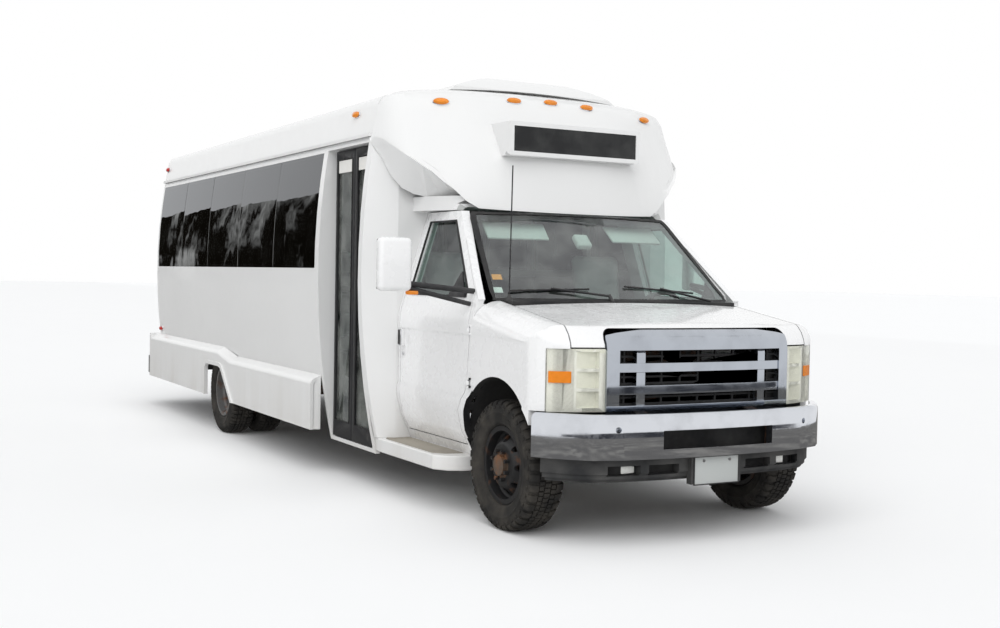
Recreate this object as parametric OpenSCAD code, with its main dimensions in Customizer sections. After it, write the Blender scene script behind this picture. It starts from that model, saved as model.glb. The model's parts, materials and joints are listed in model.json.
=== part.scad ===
// Cutaway-cab party bus, built from the chassis up as separate named pieces.
// Millimetres: +X forward, +Y to the bus's left, +Z up, ground at z = 0.
// Modules measure X from the front axle; place() shifts them to the middle of the bus.

/* [Stance] */
// front axle to rear axle
wheelbase = 4700; // [4000:10:5300]
// front axle to the bumper's face
front_overhang = 780; // [700:5:900]
// rear axle to the rear bumper's face
rear_overhang = 2770; // [2000:10:3300]
// tyre outside radius
tyre_r = 370; // [340:1:400]
// front tyre half width
front_tyre_half = 115; // [95:1:130]
// rear tyre half width
rear_tyre_half = 108; // [95:1:120]
// centre to the front tyre's middle
front_track_half = 845; // [800:5:920]
// centre to the middle of a rear pair
rear_pair_y = 950; // [900:2:1050]
// half the spacing of a rear pair
pair_half = 135; // [120:1:150]
// centre to the steering pin
kingpin_y = 765; // [740:5:820]

/* [Coach body] */
// half width at its widest
body_half = 1220; // [1000:5:1280]
// height where the side is widest
wide_z = 1450; // [1200:10:1600]
// radius of the bowed side
side_r = 5600; // [4000:100:9000]
// wall and roof thickness
wall_t = 45; // [25:1:80]
// roof height on the centre line
roof_z = 2690; // [2500:5:2900]
// radius of the roof's crown
crown_r = 7000; // [4000:100:12000]
// rear face of the body
rear_x = -7000; // [-7600:10:-6000]
// front face of the body
coach_front_x = -1440; // [-1600:5:-1300]
// height where wall and roof meet
gutter_z = 2335; // [2200:5:2400]
// lower edge of the side walls
wall_foot_z = 700; // [600:5:800]
// floor top
floor_z = 870; // [780:5:950]
// floor thickness
floor_t = 80; // [40:5:120]

/* [Side windows] */
// sill height
sill_z = 1470; // [1300:5:1600]
// head height
head_z = 2290; // [2100:5:2320]
// glass thickness
glass_t = 8; // [4:1:12]
// seam between two panes
pane_seam = 8; // [4:1:20]
// ledge the panes rest on
pane_ledge = 25; // [15:1:40]

/* [Entry] */
// rear edge of the portal
portal_x0 = -2262; // [-2400:1:-2100]
// clear width of the doorway
doorway_w = 740; // [600:5:900]
// jamb width
jamb_w = 41; // [25:1:80]
// threshold height
threshold_z = 275; // [220:5:350]
// head of the doorway
doorway_head_z = 2300; // [2000:5:2320]
// how far the leaves stand out of the side at their foot
leaf_proud = 0.95; // [0:0.05:20]
// gap behind the leaves
leaf_back_gap = 2; // [1:0.5:8]
// leaf thickness
leaf_t = 34; // [20:1:50]

/* [Cab] */
// half width of the cab
cab_half = 1000; // [900:5:1050]
// skin and pillar thickness
cab_t = 45; // [25:1:70]
// cab door thickness
door_t = 58; // [40:1:90]
// gap around doors and hood
shut_gap = 7; // [5:1:12]
// rear edge of the cab doors
door_rear_x = -1285; // [-1400:5:-1200]
// windshield lean from upright, degrees
shield_lean = 46.9; // [35:0.1:55]
// windshield bow radius
shield_r = 6000; // [3000:100:12000]
// wheel arch radius, front
arch_r = 405; // [390:1:450]

/* [Hidden] */
overall_length = front_overhang + wheelbase + rear_overhang;
front_axle_x = overall_length / 2 - front_overhang;
// the right mirror reaches further than the arch lips, so the box's middle lies to the right of the cab's
arch_lip_y = 1262;
mirror_far_y = 1590;
mid_plane_y = (mirror_far_y - arch_lip_y) / 2;
doorway_x0 = portal_x0 + jamb_w;
doorway_x1 = doorway_x0 + doorway_w;
wheel_z = tyre_r;
leaf_y = side_y(threshold_z + 8) + leaf_proud;
portal_in_y = leaf_y - leaf_t - leaf_back_gap;

white = [0.92, 0.92, 0.9];
black = [0.06, 0.06, 0.06];
chrome = [0.75, 0.76, 0.78];
steel = [0.35, 0.35, 0.36];
dark = [0.05, 0.06, 0.08];
rubber = [0.08, 0.08, 0.08];
hide = [0.16, 0.13, 0.12];
red = [0.7, 0.05, 0.05];

$fn = 64;

// Helpers

module place() translate([front_axle_x, mid_plane_y, 0]) children();

// s is 1 for the bus's left and -1 for its right; children are drawn for the left
module handed(s) {
    if (s > 0) children();
    else mirror([0, 1, 0]) children();
}

module both() {
    handed(1) children();
    handed(-1) children();
}

// a box between two corners
module box(x, y, z) translate([x[0], y[0], z[0]]) cube([x[1] - x[0], y[1] - y[0], z[1] - z[0]]);

// a flat drawing of (y, z) run along X
module run_x(x0, x1) translate([x0, 0, 0]) rotate([90, 0, 90]) linear_extrude(x1 - x0) children();

// a flat drawing of (x, z) run along Y
module run_y(y0, y1) translate([0, y1, 0]) rotate([90, 0, 0]) linear_extrude(y1 - y0) children();

// a flat drawing of (x, y) run along Z
module run_z(z0, z1) translate([0, 0, z0]) linear_extrude(z1 - z0) children();

// a rod between two points
module rod(a, b, r) {
    d = b - a;
    l = norm(d);
    translate(a) rotate([0, acos(d[2] / l), atan2(d[1], d[0])]) cylinder(h = l, r = r);
}

function arc(cx, cy, r, a0, a1, n) =
    [for (i = [0:n]) let (a = a0 + (a1 - a0) * i / n) [cx + r * cos(a), cy + r * sin(a)]];

// a half drawing of (y, z) from bottom to the centre line, closed by its mirror image
function closed(half) =
    concat(half, [for (i = [len(half) - 1:-1:0]) if (half[i][0] > 0.01) [-half[i][0], half[i][1]]]);

// Coach section

function side_y(z) = body_half - side_r + sqrt(side_r * side_r - pow(z - wide_z, 2));
function crown_z(y) = roof_z - y * y / (2 * crown_r);
corner_y = 1030;
corner_z = 2530;
corner_r = 85;

function coach_half(t, z0) = concat(
    [for (i = [0:10]) let (z = z0 + (2540 - z0) * i / 10) [side_y(z) - t, z]],
    arc(corner_y, corner_z, corner_r - t, 16, 80, 5),
    [for (i = [5:-1:0]) let (y = corner_y * i / 6) [y, crown_z(y) - t]]);

module coach_section(t, z0) polygon(closed(coach_half(t, z0)));

module coach_ring(t, z0) difference() {
    coach_section(0, z0);
    coach_section(t, z0);
    translate([-1000, z0 - 1]) square([2000, 2]);
}

// the part of a (y, z) drawing on the left between two heights
module left_band(z0, z1) intersection() {
    children();
    translate([1, z0]) square([2000, z1 - z0]);
}

// panes along one side: [rear x, front x, how many]
function pane_x(span, i) = span[0] + (span[1] - span[0] + pane_seam) * i / span[2];
function pane_w(span) = (span[1] - span[0] + pane_seam) / span[2] - pane_seam;
right_panes = [-6950, -2300, 5];
left_panes = [-6950, -1560, 6];

module panes(span) for (i = [0:span[2] - 1])
    run_x(pane_x(span, i), pane_x(span, i) + pane_w(span))
        left_band(sill_z, head_z) coach_ring(glass_t, 300);

module side_wall(x0, x1, span) difference() {
    run_x(x0, x1) left_band(wall_foot_z, gutter_z) coach_ring(wall_t, 300);
    run_x(span[0], span[1]) left_band(sill_z, head_z) coach_ring(glass_t, 300);
    for (i = [0:span[2] - 1])
        box([pane_x(span, i) + pane_ledge, pane_x(span, i) + pane_w(span) - pane_ledge],
            [900, 1400], [sill_z + pane_ledge, head_z - pane_ledge]);
    translate([-wheelbase, 900, wheel_z]) rotate([-90, 0, 0])
        cylinder(h = 500, r = tyre_r + 14, $fn = 160);
}

module wall_right() color(white) place() handed(-1)
    side_wall(rear_x + wall_t, portal_x0, right_panes);

module wall_left() color(white) place() side_wall(rear_x + wall_t, coach_front_x, left_panes);

rear_window = [[-780, 780], [1560, 2200]];

module wall_rear() color(white) place() difference() {
    run_x(rear_x, rear_x + wall_t) intersection() {
        coach_section(0, 300);
        translate([-2000, wall_foot_z]) square([4000, 3000]);
    }
    box([rear_x - 1, rear_x + glass_t], rear_window[0], rear_window[1]);
    box([rear_x - 1, rear_x + 100], rear_window[0] + [1, -1] * pane_ledge,
        rear_window[1] + [1, -1] * pane_ledge);
}

module side_glass() color(dark) place() {
    handed(-1) panes(right_panes);
    panes(left_panes);
    box([rear_x, rear_x + glass_t], rear_window[0], rear_window[1]);
}

module roof() color(white) place() {
    run_x(rear_x + wall_t, coach_front_x) intersection() {
        coach_ring(wall_t, 300);
        translate([-2000, gutter_z]) square([4000, 1000]);
    }
    both() run_x(rear_x + wall_t, coach_front_x)
        polygon([[side_y(gutter_z) - 5, gutter_z], [side_y(gutter_z) + 24, gutter_z],
            [side_y(gutter_z) + 24, gutter_z + 22], [side_y(gutter_z) - 5, gutter_z + 22]]);
}

module entry_portal() color(white) place() {
    portal_frame();
    for (f = [0, 1]) {
        translate([leaf_pin_x(f), leaf_pin_y, threshold_z - 10]) cylinder(h = 40, r = 9);
        translate([leaf_pin_x(f), leaf_pin_y, doorway_head_z - 30]) cylinder(h = 40, r = 9);
    }
}

module portal_frame() handed(-1) difference() {
    run_x(portal_x0, coach_front_x) left_band(threshold_z - 30, gutter_z) coach_section(0, 200);
    box([portal_x0 - 1, coach_front_x + 1], [-100, portal_in_y], [0, 3000]);
    box([doorway_x0, doorway_x1], [1000, 1400], [threshold_z, doorway_head_z]);
}

// slanted panel from the portal to the cab side, one each side, clear of the door's swing
fair_x = -1318;

module fairing() color(white) place() both() difference() {
    intersection() {
        run_z(362, 2310) polygon([[coach_front_x, 1260], [fair_x, 1010], [fair_x, 690],
            [fair_x - 36, 690], [fair_x - 36, 994], [coach_front_x, 1160]]);
        run_x(-1600, -1200) coach_section(0, 300);
        run_y(0, 1300) polygon([[-1500, 300], [-1200, 300], [-1200, 1980], [-1300, 2062],
            [-1356, 2178], [-1440, 2310], [-1500, 2310]]);
    }
    run_x(-1600, -1200) polygon(closed(cab_outline(0)));
}

module floor() color(steel) place() {
    difference() {
        box([rear_x + wall_t, coach_front_x + 100], [-1134, 1134], [floor_z - floor_t, floor_z]);
        box([doorway_x0 - 20, doorway_x1 + 20], [-1300, -488], [700, 1000]);
        box([portal_x0, 0], [-1300, -portal_in_y], [700, 1000]);
        box([coach_front_x - 60, 0], [-1300, -930], [700, 1000]);
        box([coach_front_x - 60, 0], [930, 1300], [700, 1000]);
    }
    // stepwell treads and risers: [outer y, tread height]
    for (s = [[-1058, 300], [-868, 490], [-678, 680]]) {
        box([doorway_x0 - 20, doorway_x1 + 20], [s[0], s[0] + 220], [s[1] - 30, s[1]]);
        box([doorway_x0 - 20, doorway_x1 + 20], [s[0] + 190, s[0] + 220], [s[1] - 30, s[1] + 190]);
        for (x = [doorway_x0 - 40, doorway_x1 + 20])
            box([x, x + 20], [s[0], s[0] + 220], [s[1] - 30, floor_z]);
    }
    // cross sills on the frame
    for (x = [-6700, -6000, -5300, -3800, -3100, -2400, -1700])
        box([x - 40, x + 40], [x + 60 > doorway_x0 ? -458 : -700, 700], [690, floor_z - floor_t]);
}

// Front cap: each row's heights as [how far round to the front, height]
soffit_run = [[0, 2320], [0.135, 2185], [0.2, 2080], [0.3, 1975], [0.42, 1938], [0.87, 1932], [1, 1880]];
lip_run = [[0, 2335], [0.25, 2302], [0.42, 2241], [0.57, 2170], [0.7, 2088], [0.81, 1975],
    [0.88, 1864], [1, 1850]];
brow_run = [[0, 2345], [0.57, 2185], [0.7, 2098], [0.77, 2052], [0.81, 2056], [0.89, 2132],
    [0.95, 2164], [1, 2177]];

// rows of [side half width, front x, bow, heights]
cap_rows = [
    [1170, -822, 1.35, soffit_run],
    [1157, -775, 2.5, lip_run],
    [1152, -810, 2.5, brow_run],
    [1122, -1030, 2.5, [[0, 2480], [0.5, 2472], [1, 2500]]],
    [1112, -1080, 2.5, [[0, 2545], [0.5, 2550], [1, 2580]]],
    [1080, -1140, 2.5, [[0, 2595], [0.5, 2609], [1, 2640]]],
    [1030, -1240, 2.5, [[0, 2614], [0.5, 2637], [1, 2668]]],
    [900, coach_front_x, 2.5, [[0, 2630], [1, 2690]]]];
cap_cols = 36;

// one point of the cap: row r, column j, inset t
function cap_pt(r, j, t) =
    let (a = -90 + 180 * j / cap_cols,
        row = cap_rows[r],
        last = len(cap_rows) - 1,
        s = sign(a) * pow(abs(sin(a)), 2 / row[2]),
        c = pow(max(cos(a), 0), 2 / row[2]),
        x = coach_front_x + (row[1] - coach_front_x - (r == last ? 0 : t)) * c,
        y = (row[0] - (r == last ? 0 : t)) * s,
        z = r == last ? crown_z(y) - t : lookup(c, row[3]) + (r < 2 ? t : -t * r / last))
    [x, y, z];

module cap_shell(t) {
    n = cap_cols + 1;
    m = len(cap_rows);
    pts = concat([for (r = [0:m - 1]) for (j = [0:n - 1]) cap_pt(r, j, 0)],
        [for (r = [0:m - 1]) for (j = [0:n - 1]) cap_pt(r, j, t)]);
    k = m * n;
    faces = concat(
        [for (r = [0:m - 2]) for (j = [0:n - 2]) each
            [[r * n + j, (r + 1) * n + j, r * n + j + 1],
            [r * n + j + 1, (r + 1) * n + j, (r + 1) * n + j + 1]]],
        [for (r = [0:m - 2]) for (j = [0:n - 2]) each
            [[k + r * n + j, k + r * n + j + 1, k + (r + 1) * n + j],
            [k + r * n + j + 1, k + (r + 1) * n + j + 1, k + (r + 1) * n + j]]],
        [for (j = [0:n - 2]) each
            [[j, j + 1, k + j], [j + 1, k + j + 1, k + j]]],
        [for (j = [0:n - 2]) let (b = (m - 1) * n) each
            [[b + j, k + b + j, b + j + 1], [b + j + 1, k + b + j, k + b + j + 1]]],
        [for (r = [0:m - 2]) each
            [[r * n, k + r * n, (r + 1) * n], [(r + 1) * n, k + r * n, k + (r + 1) * n]]],
        [for (r = [0:m - 2]) let (e = n - 1) each
            [[r * n + e, (r + 1) * n + e, k + r * n + e],
            [(r + 1) * n + e, k + (r + 1) * n + e, k + r * n + e]]]);
    polyhedron(pts, faces);
}

sign_x = -756;
sign_y = 468;
sign_z = [2232, 2392];

// web between the soffit's inner edge and the cab's shoulders
web_plan = [[fair_x, 700], [fair_x, 903], [-1180, 889], [-1060, 840], [-960, 790], [-910, 740], [-910, 700]];
web_z = [1850, 1942];

module front_cap() color(white) place() {
    cap_shell(30);
    both() difference() {
        run_z(web_z[0], web_z[1]) polygon(web_plan);
        run_x(-1400, -800) polygon(closed(cab_outline(0)));
    }
    // housing of the sign over the windshield
    difference() {
        run_z(2205, 2420) polygon([[-1010, -503], [sign_x, -495], [sign_x, 495], [-1010, 503]]);
        translate([sign_x, 0, 2205]) rotate([0, 25, 0]) box([-60, 200], [-700, 700], [-200, 0]);
        box([sign_x - 14, sign_x + 50], [-sign_y, sign_y], sign_z);
    }
}

module sign_pane() color(dark) place()
    box([sign_x - 14, sign_x - 6], [-sign_y, sign_y], sign_z);

// roof cooling unit: a low pod with a sloping nose
module roof_unit() color(white) place() difference() {
    intersection() {
        run_y(-660, 660) polygon([[-1300, 2600], [-1312, 2700], [-1350, 2745], [-1420, 2788],
            [-1500, 2802], [-2420, 2802], [-2520, 2780], [-2600, 2720], [-2630, 2600]]);
        run_x(-2700, -1300) polygon(closed([[660, 2600], [655, 2668], [600, 2706], [500, 2742],
            [380, 2775], [270, 2796], [120, 2802], [0, 2802]]));
    }
    run_x(-2800, -1200) coach_section(0, 300);
    translate([0, 0, 9]) run_x(coach_front_x, -1200) coach_section(0, 300);
}

// Lower skirts with the rear wheel arches

// outer and inner line of a skirt's section for a top height
function skirt_out(top) =
    concat([[1250, 315], [1250, top - 70]], arc(1200, top - 70, 50, 10, 75, 4), [[side_y(top), top]]);
function skirt_in(top) =
    concat([[1228, 315], [1228, top - 70]], arc(1200, top - 70, 28, 10, 75, 4), [[side_y(top), top - 22]]);

module skirt_section(top) {
    inner = skirt_in(top);
    polygon(concat(skirt_out(top), [for (i = [len(inner) - 1:-1:0]) inner[i]]));
}

// a length of skirt whose top falls from one height to another
module skirt_fall(x0, x1, top0, top1) {
    k = (top1 - top0) / (x1 - x0);
    difference() {
        multmatrix([[1, 0, 0, 0], [0, 1, 0, 0], [k, 0, 1, -k * x0], [0, 0, 0, 1]])
            run_x(x0, x1) skirt_section(top0);
        box([x0 - 1, x1 + 1], [900, 1400], [0, 315]);
    }
}

module skirts() color(white) place() {
    difference() {
        union() {
            handed(1) run_x(-4260, coach_front_x) skirt_section(705);
            handed(-1) run_x(-4260, portal_x0) skirt_section(705);
            both() run_x(-7170, -4640) skirt_section(765);
            both() skirt_fall(-4641, -4259, 765, 705);
            // the front end turns in to the portal
            handed(-1) intersection() {
                run_z(315, 699) polygon([[-2350, 1172], [-2350, 1250], [-2300, 1248], [-2272, 1228],
                    [portal_x0, 1195], [portal_x0, 1172]]);
                run_x(-2400, -2200) polygon(concat([[1100, 300], [1250, 300], [1250, 635]],
                    arc(1200, 635, 50, 10, 75, 4), [[1100, 699]]));
            }
            difference() {
                box([-7170, -7130], [-1250, 1250], [520, 765]);
                box([-7200, -7100], [-500, 500], [500, 600]);
            }
            box([-7170, rear_x], [-1180, 1180], [735, 765]);
        }
        both() run_y(1100, 1400) polygon([[-5000, 200], [-5000, 560], [-4960, 600], [-4560, 600],
            [-4500, 585], [-4190, 310], [-4130, 200]]);
        both() translate([-wheelbase, 600, wheel_z]) rotate([-90, 0, 0])
            cylinder(h = 572, r = tyre_r + 14, $fn = 160);
    }
    // raised lip around each arch
    both() difference() {
        run_y(1235, arch_lip_y) polygon([[-5030, 316], [-5030, 575], [-4975, 632], [-4550, 632],
            [-4475, 612], [-4150, 316]]);
        run_y(1100, 1400) polygon([[-5000, 200], [-5000, 560], [-4960, 600], [-4560, 600],
            [-4500, 585], [-4190, 310], [-4130, 200]]);
    }
}

// Cab

cab_sides = [[362, 892], [420, 915], [520, 965], [640, 996], [715, 1000], [735, 990], [1078, 992], [1098, 1000],
    [1180, 998], [1290, 968], [1830, 797]];

function cab_outline(t) = concat([for (p = cab_sides) [p[1] - t, p[0]]],
    arc(705, 1825, 92 - t, 20, 80, 4), [[360, 1922 - t], [0, 1928 - t]]);

module cab_ring(t) difference() {
    polygon(closed(cab_outline(0)));
    polygon(closed(cab_outline(t)));
}

// door edge seen from the side, grown by g
module door_edge(g) polygon([[door_rear_x - g, 432 - g], [door_rear_x - g, 1843 + g],
    [-842 + g * 0.4, 1843 + g], [-330 + g, 1335 + g * 0.4], [-316 + g, 1100], [-350 + g, 790],
    [-446 + g, 640], [-456 + g, 560], [-456 + g, 432 - g]]);

module door_pane_edge(g) polygon([[-1222 - g, 1312 - g], [-1230 - g, 1780 + g],
    [-862 + g * 0.4, 1780 + g], [-440 + g, 1362 + g * 0.4], [-424 + g, 1312 - g]]);

// side view of the cab: sill, cowl, windshield line, roof
module cab_side_view() polygon([[-1380, 362], [-270, 362], [-270, 1290], [-262, 1300], [-842, 1842],
    [-880, 1905], [-900, 1990], [-1380, 1990]]);

module shield_opening(g) polygon(closed([[862 + g, 1296 - g], [738 + g, 1796], [724 + g, 1824],
    [690 + g, 1838 + g], [350, 1845 + g], [0, 1847 + g]]));

// door hinges: a pin on the pillar at each height, and a barrel on the door
door_pin = [-312, 1000];
door_pin_z = [800, 1110];

module cab_shell() color(white) place() {
    difference() {
        cab_body();
        both() for (z = door_pin_z) {
            translate([door_pin[0], door_pin[1], z - 6]) cylinder(h = 36, r = 17);
            box([-352, door_pin[0]], [972, 1020], [z - 6, z + 30]);
        }
    }
    both() for (z = door_pin_z) {
        translate([door_pin[0], door_pin[1], z - 18]) cylinder(h = 60, r = 6);
        for (e = [z - 18, z + 30]) box([-309, -290], [970, 1006], [e, e + 12]);
    }
}

module cab_body() difference() {
    union() {
        intersection() {
            run_x(-1380, 0) cab_ring(cab_t);
            run_y(-1100, 1100) cab_side_view();
        }
        // firewall, floor and step edges
        intersection() {
            union() {
                box([-310, -270], [-1100, 1100], [640, 1272]);
                box([-1380, -270], [-1100, 1100], [640, 690]);
            }
            run_x(-1380, 0) polygon(closed(cab_outline(20)));
        }
    }
    both() run_y(600, 1200) door_edge(shut_gap);
    run_x(-1100, 100) shield_opening(0);
    box([-905, 0], [-900, 900], [1850, 2100]);
    box([-958, 0], [-900, 900], [1890, 2100]);
    // room for the engine cover and the frame
    box([-760, 0], [-330, 330], [600, 1130]);
    both() box([-1400, 0], [300, 470], [500, 690]);
    // front wheel wells
    both() translate([0, 0, 465]) rotate([-90, 0, 0]) translate([0, 0, 480])
        cylinder(h = 700, r = arch_r + 5, $fn = 160);
    both() house_drum(house_r, 480);
    both() box([house_x - house_r, 0], [480, 1200], [300, 470]);
}

// liners over the front wheels, clear of the steered tyres
house_x = 5;
house_r = 430;
house_t = 12;
house_fit = 0.2;
house_y = [500, 930];

module house_drum(r, y0) translate([house_x, 0, 465]) rotate([-90, 0, 0]) translate([0, 0, y0])
    cylinder(h = house_y[1] - y0, r = r, $fn = 160);

module wheel_houses() color(black) place() both() difference() {
    house_drum(house_r - house_fit, house_y[0]);
    house_drum(house_r - house_t, house_y[0] - 1);
    box([-600, 600], [400, 1000], [0, 450]);
    box([0, 600], [400, 1000], [0, 485]);
}

// glass bent to a cylinder that leans back
module shield_sheet(x, t) translate([x, 0, 1296]) rotate([0, -shield_lean, 0])
    translate([-shield_r, 0, -300]) linear_extrude(1500) polygon(concat(
        arc(0, 0, shield_r, -17, 17, 34), arc(0, 0, shield_r - t, 17, -17, 34)));

shield_x = -172;

module windshield() color(dark) place() intersection() {
    shield_sheet(shield_x, 7);
    run_x(-1100, 100) shield_opening(0);
}

// rubber round the windshield, from the pillars' faces to just proud of the glass
module shield_seal() color(black) place() difference() {
    intersection() {
        shield_sheet(shield_x + 6, 90);
        run_x(-1100, 100) difference() {
            shield_opening(20);
            shield_opening(-14);
        }
        box([-1100, 100], [-1000, 1000], [1297, 1840]);
    }
    run_y(-1100, 1100) cab_side_view();
    both() run_y(600, 1200) door_edge(shut_gap);
    intersection() {
        shield_sheet(shield_x, 7);
        run_x(-1100, 100) shield_opening(0);
    }
}

// door skin as a slice of the cab section
module cab_door(s) place() handed(s) difference() {
    door_body();
    for (z = door_pin_z) translate([door_pin[0], door_pin[1], z - 22]) cylinder(h = 68, r = 6.5);
}

module door_body() {
    difference() {
        intersection() {
            run_x(-1400, 0) left_band(300, 1900) cab_ring(door_t);
            run_y(600, 1200) door_edge(0);
        }
        run_y(600, 1200) door_pane_edge(0);
    }
    // hinge barrels
    for (z = door_pin_z) {
        translate([door_pin[0], door_pin[1], z]) cylinder(h = 24, r = 11);
        box([-362, door_pin[0]], [980, 996], [z, z + 24]);
    }
    // pull handle
    box([-1258, -1220], [980, 1024], [975, 1085]);
}

module cab_door_right() color(white) cab_door(-1);
module cab_door_left() color(white) cab_door(1);

module cab_glass(s) place() handed(s) intersection() {
    difference() {
        run_x(-1400, 0) left_band(1200, 1900) cab_ring(26);
        run_x(-1400, 0) left_band(1200, 1900) cab_ring(20);
    }
    run_y(600, 1200) door_pane_edge(0);
}

module cab_glass_right() color(dark) cab_glass(-1);
module cab_glass_left() color(dark) cab_glass(1);

// mirror head on two arms; the left one is folded back along the door
module mirror_head() run_x(-338, -258) polygon(concat(arc(mirror_far_y - 40, 1605, 40, 0, 90, 6),
    arc(1425, 1605, 40, 90, 180, 6), arc(1425, 1380, 40, 180, 270, 6),
    arc(mirror_far_y - 40, 1380, 40, 270, 360, 6)));

module mirror_right() color(black) place() handed(-1) {
    mirror_head();
    rod([-352, 950, 1345], [-308, 1395, 1385], 16);
    rod([-352, 972, 1270], [-308, 1395, 1362], 13);
}

module mirror_left() color(black) place() {
    translate([-790, 990, 0]) rotate([0, 0, 154]) run_y(-18, 38) polygon(concat(
        arc(165, 1605, 40, 0, 90, 6), arc(40, 1605, 40, 90, 180, 6), arc(40, 1400, 40, 180, 270, 6),
        arc(165, 1400, 40, 270, 360, 6)));
    rod([-352, 950, 1345], [-812, 990, 1400], 16);
    rod([-352, 972, 1270], [-812, 994, 1378], 13);
}

// Nose

hood_half = 815;
nose_pitch = 9;

// bonnet surface: a crowned section with round shoulders run forward and down
module nose_crown(t) translate([-300, 0, 1300]) rotate([0, nose_pitch, 0])
    run_x(-200, 1300) polygon(closed(concat([[1100, -1200], [1100 - t, -150]],
        [for (a = [90:-9:0]) [hood_half + (189 - t) * sin(a), -150 + (150 - t) * cos(a)]],
        [for (y = [660, 500, 330, 165, 0]) [y, 20 - 20 * pow(y / hood_half, 2) - t]])));

// plan of the nose, rounder than a circle at its corners
nose_back = 250;
nose_round = 2.8;

module nose_plan(t) polygon(closed_x(concat([[-270, 1100], [nose_back - 20, 1100]],
    [for (a = [90:-6:0]) [nose_back + (370 - t) * pow(cos(a), 2 / nose_round),
        (1000 - t) * pow(sin(a), 2 / nose_round)]])));

// a half plan from the rear to the nose on the centre line, closed by its mirror image
function closed_x(half) =
    concat(half, [for (i = [len(half) - 1:-1:0]) if (half[i][1] > 0.01) [half[i][0], -half[i][1]]]);

// the nose's upper edge rolls over along its plan and falls with the bonnet
roll_r = 150;
roll_top = 1252.5 + 21;

module roll_plan(t) polygon(closed_x(concat([[-280, 1012 - t]],
    [for (a = [90:-9:0]) [nose_back + (370 - t) * pow(cos(a), 2 / nose_round),
        (1012 - t) * pow(sin(a), 2 / nose_round)]])));

module nose_roll(t) multmatrix([[1, 0, 0, 0], [0, 1, 0, 0], [-tan(nose_pitch), 0, 1, 0], [0, 0, 0, 1]])
    hull() {
        run_z(300, roll_top - roll_r - t) roll_plan(t);
        for (a = [18:18:90])
            run_z(roll_top - roll_r + roll_r * sin(a) - t - 2, roll_top - roll_r + roll_r * sin(a) - t)
                roll_plan(t + roll_r * (1 - cos(a)));
    }

module nose_sides(t) polygon(closed(concat([for (i = [0:7]) [cab_sides[i][1] - t, cab_sides[i][0]]],
    [[1000 - t, 1400], [0, 1400]])));

// the nose as a filled block, inset by t
module nose_block(t) intersection() {
    nose_crown(t);
    run_z(400, 1500) nose_plan(t);
    nose_roll(t);
    run_x(-270, 700) nose_sides(t);
}

lamp_x = 450;
lamp_y = [630, 1010];
lamp_z = [720, 1058];

hinge_x = -86;
hinge_z = 1254;

module fenders() color(white) place() {
    fender_pair();
    // hood hinge pins
    both() translate([hinge_x, 797, hinge_z]) rotate([-90, 0, 0]) cylinder(h = 40, r = 6);
}

module fender_pair() difference() {
    nose_block(0);
    nose_block(40);
    box([-400, 800], [-hood_half - shut_gap, hood_half + shut_gap], [300, 1600]);
    both() box([lamp_x, 800], [600, 1200], [300, lamp_z[1]]);
    both() box([370, 800], [600, 1200], [300, lamp_z[0] + 2]);
    both() translate([5, 0, 465]) rotate([-90, 0, 0]) cylinder(h = 1300, r = arch_r, $fn = 160);
    both() box([5 - arch_r, 5 + arch_r], [500, 1300], [300, 465]);
    both() run_y(500, 1200) door_edge(shut_gap);
    both() box([-400, -263], [700, 1200], [1200, 1500]);
}

// clear cover over the lamp housing
lens_t = 6;

module lamp_lens() color(dark) place() both() intersection() {
    difference() {
        nose_block(0);
        nose_block(lens_t);
    }
    box([lamp_x, 700], lamp_y, lamp_z);
}

module headlamps() color(dark) place() both() difference() {
    intersection() {
        nose_block(lens_t);
        box([lamp_x, 700], lamp_y, lamp_z);
    }
    // three stacked chambers
    for (z = [742, 848, 954])
        box([530, 700], [664, 850], [z, z + 88]);
}

module hood() color(white) place() difference() {
    nose_block(0);
    nose_block(24);
    both() box([-400, 800], [hood_half, 1300], [300, 1600]);
    box([-400, -100], [-1300, 1300], [300, 1600]);
    both() translate([hinge_x, 790, hinge_z]) rotate([-90, 0, 0]) cylinder(h = 60, r = 6.5);
    run_x(300, 800) grille_outline(shut_gap);
    box([-400, 800], [-1300, 1300], [300, 1066]);
}

// front view of the grille surround, grown by g
module grille_outline(g) polygon(closed(concat([[630 + g, 600]],
    arc(580, 1110, 50 + g, 0, 90, 6), [[0, 1160 + g]])));

grille_open = [[-556, 556], [752, 1050]];

module grille_frame() color(chrome) place() difference() {
    intersection() {
        nose_block(-8);
        run_x(560, 700) grille_outline(0);
        box([560, 700], [-700, 700], [706, 1200]);
    }
    difference() {
        box([500, 800], grille_open[0], grille_open[1]);
        // two bars and two columns stay in the opening
        for (z = [811, 932]) intersection() {
            nose_block(-2);
            box([562, 800], grille_open[0], [z, z + 48]);
        }
        for (y = [-420, 420]) intersection() {
            nose_block(4);
            box([562, 800], [y - 27, y + 27], grille_open[1]);
        }
    }
}

module grille_mesh() color(black) place() intersection() {
    union() {
        for (y = [-500:125:500]) box([545, 560], [y - 6, y + 6], [706, 1100]);
        for (z = [712:37:1090]) box([545, 560], [-600, 600], [z, z + 12]);
        difference() {
            box([535, 545], [-625, 625], [700, 1110]);
            box([500, 600], [-500, 500], [745, 1070]);
        }
    }
    box([500, 560], [-625, 625], [700, 1110]);
}

module bumper_plan(t) polygon(closed_x([[430, 1000 - t], [520 - t * 0.3, 938 - t],
    [605 - t * 0.5, 862 - t * 0.85], [682 - t * 0.75, 775 - t * 0.65], [736 - t * 0.92, 605 - t * 0.3],
    [768 - t, 330], [780 - t, 0]]));

// bumper with a rolled top edge, drawn as a stack of thin plates
bumper_roll = 30;

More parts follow.
